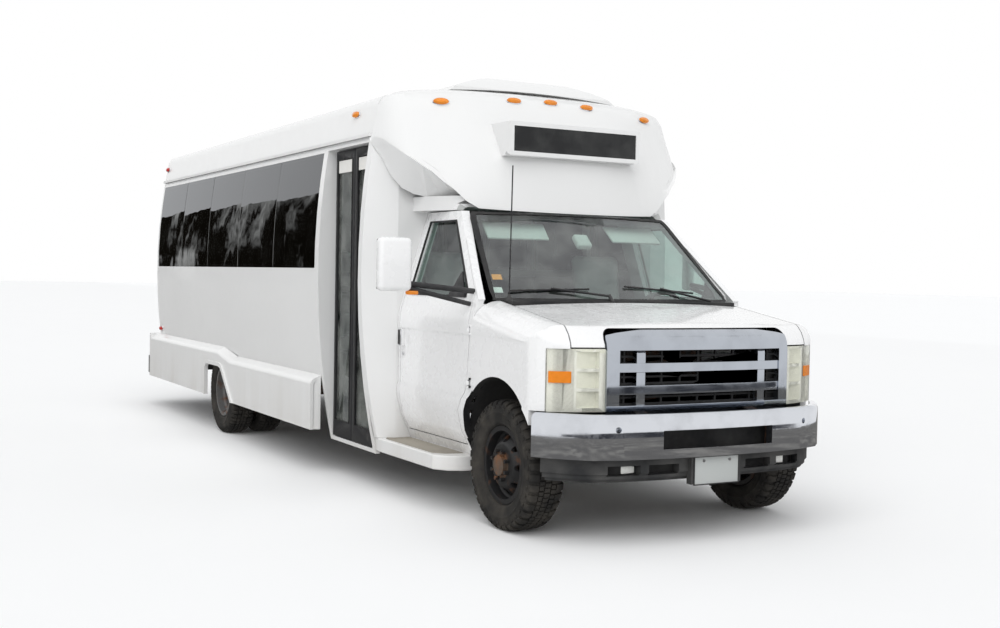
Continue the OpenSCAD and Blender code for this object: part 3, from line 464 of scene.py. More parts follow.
class Shader:
    """A principled material grown node by node on object coordinates."""

    def __init__(self, name: str) -> None:
        """Starts an empty material.

        Args:
            name: The material's name.
        """
        self.mat = bpy.data.materials.new(name)
        self.mat.use_nodes = True
        self.nodes = self.mat.node_tree.nodes
        self.links = self.mat.node_tree.links
        self.bsdf = self.nodes["Principled BSDF"]
        self.out = self.nodes["Material Output"]
        self.coords = self.nodes.new("ShaderNodeTexCoord").outputs["Object"]

    def put(self, **values: object) -> None:
        """Sets the shader's plain values, with _ for a space in a socket's name.

        Args:
            values: Socket names and what each is set to.
        """
        for key, value in values.items():
            socket = self.bsdf.inputs[key.replace("_", " ")]
            if isinstance(value, bpy.types.NodeSocket):
                self.links.new(value, socket)
            else:
                socket.default_value = value

    def stretched(self, scale: Point) -> bpy.types.NodeSocket:
        """Object coordinates scaled along each axis.

        Args:
            scale: The scale along X, Y and Z.

        Returns:
            The scaled vector.
        """
        node = self.nodes.new("ShaderNodeMapping")
        node.inputs["Scale"].default_value = scale
        self.links.new(self.coords, node.inputs["Vector"])
        return node.outputs["Vector"]

    def noise(self, scale: float, detail: float = 4.0, stretch: Point = (1, 1, 1),
              rough: float = 0.5) -> bpy.types.NodeSocket:
        """A noise value from 0 to 1.

        Args:
            scale: Features per metre.
            detail: Octaves.
            stretch: Scale along each axis.
            rough: How strong the small octaves are.

        Returns:
            The noise's value.
        """
        node = self.nodes.new("ShaderNodeTexNoise")
        node.inputs["Scale"].default_value = scale
        node.inputs["Detail"].default_value = detail
        node.inputs["Roughness"].default_value = rough
        self.links.new(self.stretched(stretch), node.inputs["Vector"])
        return node.outputs["Fac"]

    def cells(self, scale: float, feature: str = "F1") -> bpy.types.NodeSocket:
        """Distance to the nearest point of a random cell pattern.

        Args:
            scale: Cells per metre.
            feature: The Voronoi feature.

        Returns:
            The distance.
        """
        node = self.nodes.new("ShaderNodeTexVoronoi")
        node.feature = feature
        node.inputs["Scale"].default_value = scale
        self.links.new(self.coords, node.inputs["Vector"])
        return node.outputs["Distance"]

    def waves(self, scale: float, axis: str) -> bpy.types.NodeSocket:
        """Parallel bands across an axis.

        Args:
            scale: Bands, in Blender's wave units.
            axis: X, Y or Z.

        Returns:
            The band's value.
        """
        node = self.nodes.new("ShaderNodeTexWave")
        node.bands_direction = axis
        node.inputs["Scale"].default_value = scale
        self.links.new(self.coords, node.inputs["Vector"])
        return node.outputs["Fac"]

    def height(self, low: float, high: float) -> bpy.types.NodeSocket:
        """How far up a point lies between two heights, from 0 to 1.

        Args:
            low: The height that gives 0.
            high: The height that gives 1.

        Returns:
            The clamped share.
        """
        split = self.nodes.new("ShaderNodeSeparateXYZ")
        self.links.new(self.coords, split.inputs[0])
        return self.span(split.outputs["Z"], low, high)

    def span(self, value: bpy.types.NodeSocket, low: float, high: float, to_low: float = 0.0,
             to_high: float = 1.0) -> bpy.types.NodeSocket:
        """Maps a range of a value onto another range, clamped.

        Args:
            value: The value to map.
            low: The start of its range.
            high: The end of its range.
            to_low: What the start becomes.
            to_high: What the end becomes.

        Returns:
            The mapped value.
        """
        node = self.nodes.new("ShaderNodeMapRange")
        node.inputs["From Min"].default_value = low
        node.inputs["From Max"].default_value = high
        node.inputs["To Min"].default_value = to_low
        node.inputs["To Max"].default_value = to_high
        self.links.new(value, node.inputs["Value"])
        return node.outputs["Result"]

    def product(self, a: bpy.types.NodeSocket, b: object) -> bpy.types.NodeSocket:
        """Two values multiplied.

        Args:
            a: A value.
            b: Another value or a plain number.

        Returns:
            The product.
        """
        node = self.nodes.new("ShaderNodeMath")
        node.operation = "MULTIPLY"
        self.links.new(a, node.inputs[0])
        if isinstance(b, bpy.types.NodeSocket):
            self.links.new(b, node.inputs[1])
        else:
            node.inputs[1].default_value = b
        return node.outputs[0]

    def total(self, a: bpy.types.NodeSocket, b: bpy.types.NodeSocket) -> bpy.types.NodeSocket:
        """Two values added.

        Args:
            a: A value.
            b: Another value.

        Returns:
            The sum.
        """
        node = self.nodes.new("ShaderNodeMath")
        node.operation = "ADD"
        self.links.new(a, node.inputs[0])
        self.links.new(b, node.inputs[1])
        return node.outputs[0]

    def crown(self, middle: float, radius: float) -> bpy.types.NodeSocket:
        """The relief of an upright face that bows out as a circle's arc.

        Args:
            middle: The height where it stands out the most.
            radius: The arc's radius.

        Returns:
            The relief in metres.
        """
        split = self.nodes.new("ShaderNodeSeparateXYZ")
        self.links.new(self.coords, split.inputs[0])
        node = self.nodes.new("ShaderNodeMath")
        node.operation = "SUBTRACT"
        self.links.new(split.outputs["Z"], node.inputs[0])
        node.inputs[1].default_value = middle
        return self.product(self.product(node.outputs[0], node.outputs[0]), -0.5 / radius)

    def blend(self, share: bpy.types.NodeSocket, a: object, b: object) -> bpy.types.NodeSocket:
        """A colour between two colours.

        Args:
            share: 0 gives the first, 1 the second.
            a: The first colour, a value or a socket.
            b: The second colour.

        Returns:
            The mixed colour.
        """
        node = self.nodes.new("ShaderNodeMix")
        node.data_type = "RGBA"
        self.links.new(share, node.inputs["Factor"])
        for index, colour in ((6, a), (7, b)):
            if isinstance(colour, bpy.types.NodeSocket):
                self.links.new(colour, node.inputs[index])
            else:
                node.inputs[index].default_value = (*colour, 1.0)
        return node.outputs[2]

    def bump(self, value: bpy.types.NodeSocket, strength: float, distance: float) -> None:
        """Puts a relief on the surface.

        Args:
            value: The relief's height.
            strength: How much of it shows.
            distance: Its depth in metres.
        """
        node = self.nodes.new("ShaderNodeBump")
        node.inputs["Strength"].default_value = strength
        node.inputs["Distance"].default_value = distance
        self.links.new(value, node.inputs["Height"])
        self.links.new(node.outputs["Normal"], self.bsdf.inputs["Normal"])


@dataclass(frozen=True)
class Finish:
    """What a surface is made of: a named material that is built once."""

    name: str

    def material(self) -> bpy.types.Material:
        """The finish's material, built when first asked for.

        Returns:
            The material.
        """
        name = "look_" + self.name
        found = bpy.data.materials.get(name)
        if found is None:
            found = self.build(Shader(name)).mat
        return found

    def build(self, shader: Shader) -> Shader:
        """Fills in the shader.

        Args:
            shader: A new shader with plain values.

        Returns:
            The same shader.
        """
        return shader


@dataclass(frozen=True)
class Paint(Finish):
    """Gloss paint or gel coat with road film, streaks and specks."""

    colour: Colour = (0.79, 0.79, 0.785)
    film: Colour = (0.55, 0.52, 0.47)
    film_top: float = 0.9
    film_amount: float = 0.4
    rough: float = 0.28
    coat: float = 0.5
    specks: float = 0.0
    speck: Colour = (0.30, 0.29, 0.27)
    film_low: float = 0.25
    shade: float = 0.93
    shade_amount: float = 0.25
    orange_peel: float = 0.02

    def build(self, shader: Shader) -> Shader:
        """Paint with a film that thickens toward the road.

        Args:
            shader: The shader to fill in.

        Returns:
            The same shader.
        """
        patchy = shader.span(shader.noise(1.6, 5.0), 0.35, 0.7)
        tone = shader.blend(shader.product(patchy, self.shade_amount), self.colour,
                            tuple(self.shade * c for c in self.colour))
        low = shader.height(self.film_top, self.film_low)
        streak = shader.span(shader.noise(5.0, 6.0, (1.0, 1.0, 0.15)), 0.3, 0.75)
        film = shader.product(shader.product(low, streak), self.film_amount)
        tone = shader.blend(film, tone, self.film)
        if self.specks > 0:
            dots = shader.span(shader.cells(9.0), 0.03, 0.018)
            few = shader.span(shader.noise(3.0, 2.0), 0.52, 0.62)
            tone = shader.blend(shader.product(shader.product(dots, few), self.specks), tone, self.speck)
        rough = shader.span(shader.noise(14.0, 3.0), 0.3, 0.7, self.rough, self.rough + 0.12)
        shader.put(Base_Color=tone, Roughness=rough, Coat_Weight=self.coat, Coat_Roughness=0.06)
        shader.bump(shader.noise(9.0, 2.0), self.orange_peel, 0.004)
        return shader


@dataclass(frozen=True)
class Chrome(Finish):
    """Plated metal with smears."""

    colour: Colour = (0.80, 0.81, 0.83)
    rough: float = 0.06
    crown_z: float = 0.0
    crown_r: float = 0.0
    smear_rough: float = 0.16
    smear_shade: float = 0.72
    smear_amount: float = 0.5
    ripple: float = 0.0002

    def build(self, shader: Shader) -> Shader:
        """Mirror metal, a little dull where it is smeared.

        Args:
            shader: The shader to fill in.

        Returns:
            The same shader.
        """
        smear = shader.span(shader.noise(7.0, 6.0), 0.45, 0.8)
        rough = shader.span(smear, 0.0, 1.0, self.rough, self.rough + self.smear_rough)
        tone = shader.blend(shader.product(smear, self.smear_amount), self.colour,
                            tuple(self.smear_shade * c for c in self.colour))
        shader.put(Base_Color=tone, Metallic=1.0, Roughness=rough)
        relief = shader.product(shader.noise(3.5, 2.0), self.ripple)
        if self.crown_r > 0:
            relief = shader.total(relief, shader.crown(self.crown_z, self.crown_r))
        shader.bump(relief, 1.0, 1.0)
        return shader


@dataclass(frozen=True)
class Plastic(Finish):
    """Grained plastic or rubber trim, faded and dusty."""

    colour: Colour = (0.018, 0.018, 0.020)
    dust: Colour = (0.16, 0.155, 0.145)
    amount: float = 0.25
    rough: float = 0.5
    grain: float = 420.0
    relief: float = 0.25

    def build(self, shader: Shader) -> Shader:
        """Fine grain with patches of dust.

        Args:
            shader: The shader to fill in.

        Returns:
            The same shader.
        """
        worn = shader.product(shader.span(shader.noise(4.0, 6.0), 0.42, 0.75), self.amount)
        rough = shader.span(shader.noise(24.0, 4.0), 0.3, 0.7, self.rough - 0.06, self.rough + 0.12)
        shader.put(Base_Color=shader.blend(worn, self.colour, self.dust), Roughness=rough)
        shader.bump(shader.cells(self.grain), self.relief, 0.0006)
        return shader


@dataclass(frozen=True)
class Tyre(Finish):
    """Tyre rubber with patches of dusty brown."""

    colour: Colour = (0.020, 0.019, 0.018)
    dust: Colour = (0.085, 0.075, 0.062)
    amount: float = 0.6
    rough: float = 0.78

    def build(self, shader: Shader) -> Shader:
        """Dull rubber with dried dirt in patches.

        Args:
            shader: The shader to fill in.

        Returns:
            The same shader.
        """
        patch = shader.product(shader.span(shader.noise(11.0, 7.0), 0.40, 0.78), self.amount)
        shader.put(Base_Color=shader.blend(patch, self.colour, self.dust), Roughness=self.rough,
                   Specular_IOR_Level=0.3)
        shader.bump(shader.noise(160.0, 5.0), 0.35, 0.0012)
        return shader


@dataclass(frozen=True)
class Metal(Finish):
    """Bare or painted iron with rust."""

    colour: Colour = (0.10, 0.10, 0.10)
    rust: Colour = (0.13, 0.055, 0.024)
    amount: float = 0.4
    shine: float = 0.6
    rough: float = 0.5

    def build(self, shader: Shader) -> Shader:
        """Metal that gives way to dull rust in patches.

        Args:
            shader: The shader to fill in.

        Returns:
            The same shader.
        """
        patch = shader.span(shader.noise(13.0, 8.0), 0.62 - 0.3 * self.amount, 0.80 - 0.25 * self.amount)
        keep = shader.span(patch, 0.0, 1.0, self.shine, 0.0)
        rough = shader.span(patch, 0.0, 1.0, self.rough, 0.88)
        shader.put(Base_Color=shader.blend(patch, self.colour, self.rust), Metallic=keep, Roughness=rough)
        shader.bump(shader.noise(70.0, 6.0), 0.3, 0.001)
        return shader


@dataclass(frozen=True)
class Glass(Finish):
    """A tinted pane: clear tint with a mirror on it that grows toward grazing angles."""

    tint: Colour = (0.62, 0.70, 0.67)
    gloss: Colour = (0.95, 0.97, 1.0)
    index: float = 1.5
    ripple: float = 0.02
    haze: float = 0.03
    dust: Colour = (0.45, 0.45, 0.43)
    rough: float = 0.012

    def build(self, shader: Shader) -> Shader:
        """Transparent tint under a slightly rippled, dusty mirror.

        Args:
            shader: The shader to fill in.

        Returns:
            The same shader.
        """
        nodes = shader.nodes
        nodes.remove(shader.bsdf)
        clear = nodes.new("ShaderNodeBsdfTransparent")
        clear.inputs["Color"].default_value = (*self.tint, 1.0)
        mirror = nodes.new("ShaderNodeBsdfGlossy")
        mirror.inputs["Color"].default_value = (*self.gloss, 1.0)
        mirror.inputs["Roughness"].default_value = self.rough
        dust = nodes.new("ShaderNodeBsdfDiffuse")
        dust.inputs["Color"].default_value = (*self.dust, 1.0)
        edge = nodes.new("ShaderNodeFresnel")
        edge.inputs["IOR"].default_value = self.index
        relief = nodes.new("ShaderNodeBump")
        relief.inputs["Strength"].default_value = self.ripple
        relief.inputs["Distance"].default_value = 0.02
        shader.links.new(shader.noise(2.2, 2.0), relief.inputs["Height"])
        shader.links.new(relief.outputs["Normal"], mirror.inputs["Normal"])
        facing = nodes.new("ShaderNodeNewGeometry")
        outside = shader.span(facing.outputs["Backfacing"], 0.0, 1.0, 1.0, 0.0)
        pane = nodes.new("ShaderNodeMixShader")
        shader.links.new(shader.product(edge.outputs[0], outside), pane.inputs[0])
        shader.links.new(clear.outputs[0], pane.inputs[1])
        shader.links.new(mirror.outputs[0], pane.inputs[2])
        film = nodes.new("ShaderNodeMixShader")
        patch = shader.product(shader.span(shader.noise(6.0, 6.0), 0.35, 0.8), self.haze)
        shader.links.new(patch, film.inputs[0])
        shader.links.new(pane.outputs[0], film.inputs[1])
        shader.links.new(dust.outputs[0], film.inputs[2])
        shader.links.new(film.outputs[0], shader.out.inputs["Surface"])
        return shader


@dataclass(frozen=True)
class Lens(Finish):
    """A moulded lamp lens with fine flutes."""

    colour: Colour = (0.90, 0.30, 0.02)
    glow: float = 0.12
    through: float = 0.35
    flutes: float = 60.0

    def build(self, shader: Shader) -> Shader:
        """Coloured plastic, part clear, fluted across.

        Args:
            shader: The shader to fill in.

        Returns:
            The same shader.
        """
        patch = shader.span(shader.noise(30.0, 3.0), 0.3, 0.8)
        shader.put(Base_Color=shader.blend(patch, self.colour, tuple(0.8 * c for c in self.colour)),
                   Roughness=0.16, Transmission_Weight=self.through, IOR=1.45, Coat_Weight=0.4,
                   Emission_Color=(*self.colour, 1.0), Emission_Strength=self.glow)
        shader.bump(shader.waves(self.flutes, "Y"), 0.35, 0.0015)
        return shader


@dataclass(frozen=True)
class Hide(Finish):
    """Vinyl or leather with a grain of small cells."""

    colour: Colour = (0.05, 0.05, 0.055)
    wear: Colour = (0.12, 0.115, 0.11)

    def build(self, shader: Shader) -> Shader:
        """Grained hide, paler where it is worn.

        Args:
            shader: The shader to fill in.

        Returns:
            The same shader.
        """
        worn = shader.product(shader.span(shader.noise(6.0, 5.0), 0.45, 0.75), 0.5)
        shader.put(Base_Color=shader.blend(worn, self.colour, self.wear), Roughness=0.46,
                   Sheen_Weight=0.08)
        shader.bump(shader.cells(260.0, "DISTANCE_TO_EDGE"), 0.4, 0.0012)
        return shader


class Finishes:
    """Every finish of the bus."""

    coach = Paint("coach_white", specks=0.55, rough=0.30, film_top=0.75, film_amount=0.45)
    cab = Paint("cab_white", colour=(0.84, 0.84, 0.84), coat=0.6, rough=0.22, film_top=0.75,
                film_amount=0.5)
    chrome = Chrome("chrome")
    grille = Chrome("grille_chrome", colour=(0.46, 0.49, 0.54), crown_z=0.80, crown_r=0.60)
    bumper = Chrome("bumper_chrome", colour=(0.66, 0.68, 0.72), crown_z=0.575, crown_r=0.42)
    trim = Plastic("black_trim")
    valance = Plastic("valance_black", colour=(0.022, 0.023, 0.025), amount=0.45, rough=0.55)
    rubber = Plastic("rubber_seal", colour=(0.012, 0.012, 0.013), amount=0.15, rough=0.62, grain=700.0)
    # near-black for wheel houses and inner faces; on the sheet behind the front openings it is painted shade
    liner_and_painted_shade = Plastic("inner_black", colour=(0.010, 0.010, 0.011), amount=0.2, rough=0.8)
    vinyl = Plastic("inner_vinyl", colour=(0.36, 0.36, 0.36), dust=(0.42, 0.42, 0.41), rough=0.6)
    grey_trim = Plastic("cab_grey_trim", colour=(0.52, 0.53, 0.52), dust=(0.56, 0.56, 0.54), rough=0.6)
    pale_trim = Plastic("cab_pale_trim", colour=(0.58, 0.58, 0.55), dust=(0.62, 0.61, 0.58), rough=0.65)
    dash = Plastic("dash_grey", colour=(0.11, 0.115, 0.12), dust=(0.2, 0.2, 0.195), rough=0.6)
    chassis = Metal("chassis_black", colour=(0.020, 0.020, 0.021), amount=0.35, shine=0.1, rough=0.6)
    steel = Metal("bare_steel", colour=(0.30, 0.30, 0.31), amount=0.35, shine=0.9, rough=0.4)
    iron = Metal("iron", colour=(0.07, 0.065, 0.06), amount=0.6, shine=0.4, rough=0.6)
    alloy = Metal("door_frame", colour=(0.030, 0.031, 0.034), rust=(0.075, 0.072, 0.068), amount=0.2,
                  shine=0.35, rough=0.38)
    wheel = Metal("wheel_black", colour=(0.022, 0.022, 0.023), amount=0.22, shine=0.2, rough=0.5)
    hub = Metal("hub_rust", colour=(0.10, 0.085, 0.07), rust=(0.16, 0.075, 0.035), amount=0.75, shine=0.3)
    wheel_pale = Metal("wheel_pale", colour=(0.18, 0.18, 0.18), amount=0.45, shine=0.4, rough=0.55)
    side_glass = Glass("dark_glass", tint=(0.055, 0.058, 0.055), index=1.75, ripple=0.06, haze=0.01)
    screen = Glass("screen_glass", tint=(0.88, 0.95, 0.93), index=1.95, ripple=0.0, haze=0.13)
    door_glass = Glass("door_glass", tint=(0.62, 0.70, 0.67), index=1.6, haze=0.12)
    entry_glass = Glass("entry_glass", tint=(0.62, 0.70, 0.66), index=1.45, haze=0.34)
    sign = Glass("sign_glass", tint=(0.10, 0.10, 0.105), index=1.45, haze=0.10)
    tyre = Tyre("tyre")
    amber = Lens("lamp_amber")
    red = Lens("lamp_red", colour=(0.60, 0.02, 0.015), glow=0.05)
    strip = Glass("tint_strip", tint=(0.16, 0.19, 0.19), index=1.3, haze=0.02)
    mesh = Plastic("grille_mesh", colour=(0.012, 0.012, 0.013), dust=(0.05, 0.05, 0.05), rough=0.5,
                   grain=70.0, relief=0.9)
    lens_cover = Glass("lens_cover", tint=(0.96, 0.96, 0.93), index=1.3, ripple=0.03, haze=0.12)
    reflector = Plastic("lamp_reflector", colour=(0.86, 0.86, 0.82), dust=(0.92, 0.92, 0.88), amount=0.6,
                        rough=0.22, grain=48.0, relief=1.0)
    hide = Hide("hide")
    seat = Hide("seat_grey", colour=(0.40, 0.40, 0.39), wear=(0.48, 0.48, 0.46))
    floor = Plastic("floor_grey", colour=(0.10, 0.10, 0.105), dust=(0.2, 0.19, 0.18), rough=0.7, grain=180.0)
    plate = Plastic("plate_grey", colour=(0.46, 0.48, 0.47), dust=(0.5, 0.5, 0.49), rough=0.4, relief=0.05)
    grit = Plastic("step_grit", colour=(0.36, 0.33, 0.28), dust=(0.22, 0.20, 0.17), amount=0.7, rough=0.9,
                   grain=160.0, relief=0.9)
    orange = Plastic("sticker_orange", colour=(0.86, 0.32, 0.03), dust=(0.9, 0.5, 0.2), rough=0.5,
                     relief=0.05)
    paper = Plastic("sticker_white", colour=(0.78, 0.77, 0.74), dust=(0.7, 0.6, 0.5), rough=0.6, relief=0.05)
    mirror = Chrome("mirror_glass", colour=(0.85, 0.87, 0.88), rough=0.02)


# Frame


Rule = Callable[[Vector, Vector], bool]

# what counts as the cab's inside: a place in it, the thickness of its sides and the height of its roof
CAB_HEART = (-0.75, 0.0, 1.15)
CAB_SKIN = 0.02
CAB_ROOF = 1.875

# half width of the cab at each height
CAB_SIDE = ((0.362, 0.892), (0.420, 0.915), (0.520, 0.965), (0.640, 0.996), (0.715, 1.000), (0.735, 0.990),
            (1.078, 0.992), (1.098, 1.000), (1.180, 0.998), (1.290, 0.968), (1.830, 0.797))


def cab_half(z: float) -> float:
    """Half the cab's width at a height.

    Args:
        z: The height above the road.

    Returns:
        The half width in metres.
    """
    for (z0, y0), (z1, y1) in zip(CAB_SIDE, CAB_SIDE[1:]):
        if z <= z1:
            return y0 + (y1 - y0) * max(0.0, z - z0) / (z1 - z0)
    return CAB_SIDE[-1][1]


def inside_cab(middle: Vector, normal: Vector) -> bool:
    """A rule for the faces of the cab's shell that show only from inside."""
    deep = abs(middle.y - MID_Y) < cab_half(middle.z) - CAB_SKIN and middle.z < CAB_ROOF
    return deep and normal.dot(at(*CAB_HEART) - middle) > 0


def inward(point: Point) -> Rule:
    """A rule for the faces that look toward a point inside the bus.

    Args:
        point: The point, measured from the axle.

    Returns:
        A test of a face's middle and normal.
    """
    aim = at(*point)
    return lambda middle, normal: normal.dot(aim - middle) > 0


@dataclass(frozen=True)
class Coat:
    """How one CAD node is finished."""

    node: str
    finish: Finish
    edge: float = 0.003
    inner: Optional[Finish] = None
    rule: Optional[Rule] = None
    arch: Optional[Finish] = None


@dataclass
class FrameDress:
    """Finishes for the CAD nodes that stay in view."""

    nodes: Nodes
    coats: list[Coat] = field(default_factory=list)
    merge: float = 0.00002
    flat_angle: float = 0.6
    edge_angle: float = 32.0
    edge_steps: int = 2
    shade_weight: int = 60
    hub_r: ClassVar[float] = 0.074
    arch_r: ClassVar[float] = 0.60
    arch_cosine: ClassVar[float] = 0.5

    def plan(self) -> None:
        """Lists every node's finish."""
        f = Finishes
        self.coats = [
            Coat("wall_right", f.coach, 0.004, f.vinyl, lambda c, n: n.y > 0.4),
            Coat("wall_left", f.coach, 0.004, f.vinyl, lambda c, n: n.y < -0.4),
            Coat("wall_rear", f.coach, 0.012, f.vinyl, lambda c, n: n.x > 0.4),
            Coat("roof", f.coach, 0.004, f.vinyl, lambda c, n: n.z < -0.2 and abs(c.y - MID_Y) < 1.17),
            Coat("entry_portal", f.coach, 0.004),
            Coat("fairing", f.coach, 0.004, f.vinyl, inward((-1.5, 0.0, 1.3))),
            Coat("front_cap", f.coach, 0.006),
            Coat("sign_pane", f.sign, 0.0),
            Coat("roof_unit", f.coach, 0.014),
            Coat("skirts", f.coach, 0.006, f.liner_and_painted_shade, lambda c, n: n.y * (c.y - MID_Y) < -0.1),
            Coat("side_glass", f.side_glass, 0.0),
            Coat("cab_shell", f.cab, 0.004, f.grey_trim, inside_cab, f.liner_and_painted_shade),
            Coat("windshield", f.screen, 0.0),
            Coat("fenders", f.cab, 0.004, f.liner_and_painted_shade, lambda c, n: n.y * (c.y - MID_Y) < -0.3, f.liner_and_painted_shade),
            Coat("grille_frame", f.grille, 0.008),
            Coat("grille_mesh", f.mesh, 0.001),
            Coat("headlamps", f.reflector, 0.004),
            Coat("lamp_lens", f.lens_cover, 0.0),
            Coat("wheel_houses", f.liner_and_painted_shade, 0.0),
            Coat("shield_seal", f.rubber, 0.003),
            Coat("front_bumper", f.bumper, 0.008),
            Coat("front_valance", f.valance, 0.006),
            Coat("cowl", f.trim, 0.002),
            Coat("dashboard", f.dash, 0.02),
            Coat("steering_wheel", f.trim, 0.003),
            Coat("cab_seats", f.seat, 0.02),
            Coat("benches", f.hide, 0.03),
            Coat("cab_steps", f.coach, 0.012),
            Coat("rear_bumper", f.trim, 0.006),
            Coat("tail_lamps", f.red, 0.004),
            Coat("hood", f.cab, 0.004, f.liner_and_painted_shade, lambda c, n: n.z < -0.2),
            Coat("cab_door_right", f.cab, 0.003, f.grey_trim, lambda c, n: n.y > 0.3),
            Coat("cab_door_left", f.cab, 0.003, f.grey_trim, lambda c, n: n.y < -0.3),
            Coat("cab_glass_right", f.door_glass, 0.0),
            Coat("cab_glass_left", f.door_glass, 0.0),
            Coat("mirror_right", f.trim, 0.004),
            Coat("mirror_left", f.trim, 0.004),
            Coat("entry_leaf_front", f.alloy, 0.0),
            Coat("entry_leaf_rear", f.alloy, 0.0),
            Coat("entry_glass_front", f.entry_glass, 0.0),
            Coat("entry_glass_rear", f.entry_glass, 0.0),
            Coat("floor", f.floor, 0.004),
            Coat("chassis_frame", f.chassis, 0.003),
            Coat("engine", f.iron, 0.01),
            Coat("front_beams", f.chassis, 0.004),
            Coat("rear_axle", f.iron, 0.004),
            Coat("drive_shaft", f.steel, 0.003),
            Coat("fuel_tank", f.chassis, 0.02),
            Coat("exhaust", f.iron, 0.003),
            Coat("knuckle_right", f.iron, 0.003),
            Coat("knuckle_left", f.iron, 0.003),
            Coat("front_wheel_right", f.wheel, 0.003, f.hub, self.near_hub),
            Coat("front_wheel_left", f.wheel, 0.003, f.hub, self.near_hub),
            Coat("rear_wheels_right", f.wheel_pale, 0.003, f.hub, self.near_hub),
            Coat("rear_wheels_left", f.wheel_pale, 0.003, f.hub, self.near_hub),
            Coat("front_tyre_right", f.tyre, 0.003),
            Coat("front_tyre_left", f.tyre, 0.003),
            Coat("rear_tyres_right", f.tyre, 0.003),
            Coat("rear_tyres_left", f.tyre, 0.003),
        ]

    @classmethod
    def in_arch(cls, middle: Vector, normal: Vector) -> bool:
        """True for the faces round a front wheel that look toward it."""
        toward = Vector((AXLE_X - middle.x, 0.0, WHEEL_R - middle.z))
        return toward.length < cls.arch_r and normal.dot(toward) > cls.arch_cosine * toward.length

    @classmethod
    def near_hub(cls, middle: Vector, normal: Vector) -> bool:
        """True for a wheel's faces near its axle."""
        axle = AXLE_X if middle.x > AXLE_X - WHEELBASE / 2 else AXLE_X - WHEELBASE
        return math.hypot(middle.x - axle, middle.z - WHEEL_R) < cls.hub_r

    def dress(self) -> None:
        """Gives each node its materials and its softened edges."""
        self.plan()
        for coat in self.coats:
            obj = self.nodes[coat.node]
            mesh = obj.data
            mesh.materials.clear()
            mesh.materials.append(coat.finish.material())
            for extra in (coat.inner, coat.arch):
                if extra is not None:
                    mesh.materials.append(extra.material())
            for face in mesh.polygons:
                face.use_smooth = True
                face.material_index = 0
                if coat.rule is not None and coat.rule(face.center, face.normal):
                    face.material_index = 1
                elif coat.arch is not None and self.in_arch(face.center, face.normal):
                    face.material_index = 2
            self.smooth(obj, coat.edge)
            LOG.info("%s: %s", coat.node, coat.finish.name)

    def smooth(self, obj: bpy.types.Object, edge: float) -> None:
        """Welds a node's facets and rounds its edges with live modifiers.

        Args:
            obj: The CAD node.
            edge: Width of the rounding, or 0 for none.
        """
        weld = obj.modifiers.new("weld", "WELD")
        weld.merge_threshold = self.merge
        if edge > 0:
            flat = obj.modifiers.new("flat", "DECIMATE")
            flat.decimate_type = "DISSOLVE"
            flat.angle_limit = math.radians(self.flat_angle)
            flat.delimit = {"MATERIAL"}
            bevel = obj.modifiers.new("edge", "BEVEL")
            bevel.width = edge
            bevel.segments = self.edge_steps
            bevel.limit_method = "ANGLE"
            bevel.angle_limit = math.radians(self.edge_angle)
            bevel.use_clamp_overlap = True
            bevel.miter_outer = "MITER_ARC"
        shade = obj.modifiers.new("shade", "WEIGHTED_NORMAL")
        shade.keep_sharp = False
        shade.weight = self.shade_weight


# Tyres


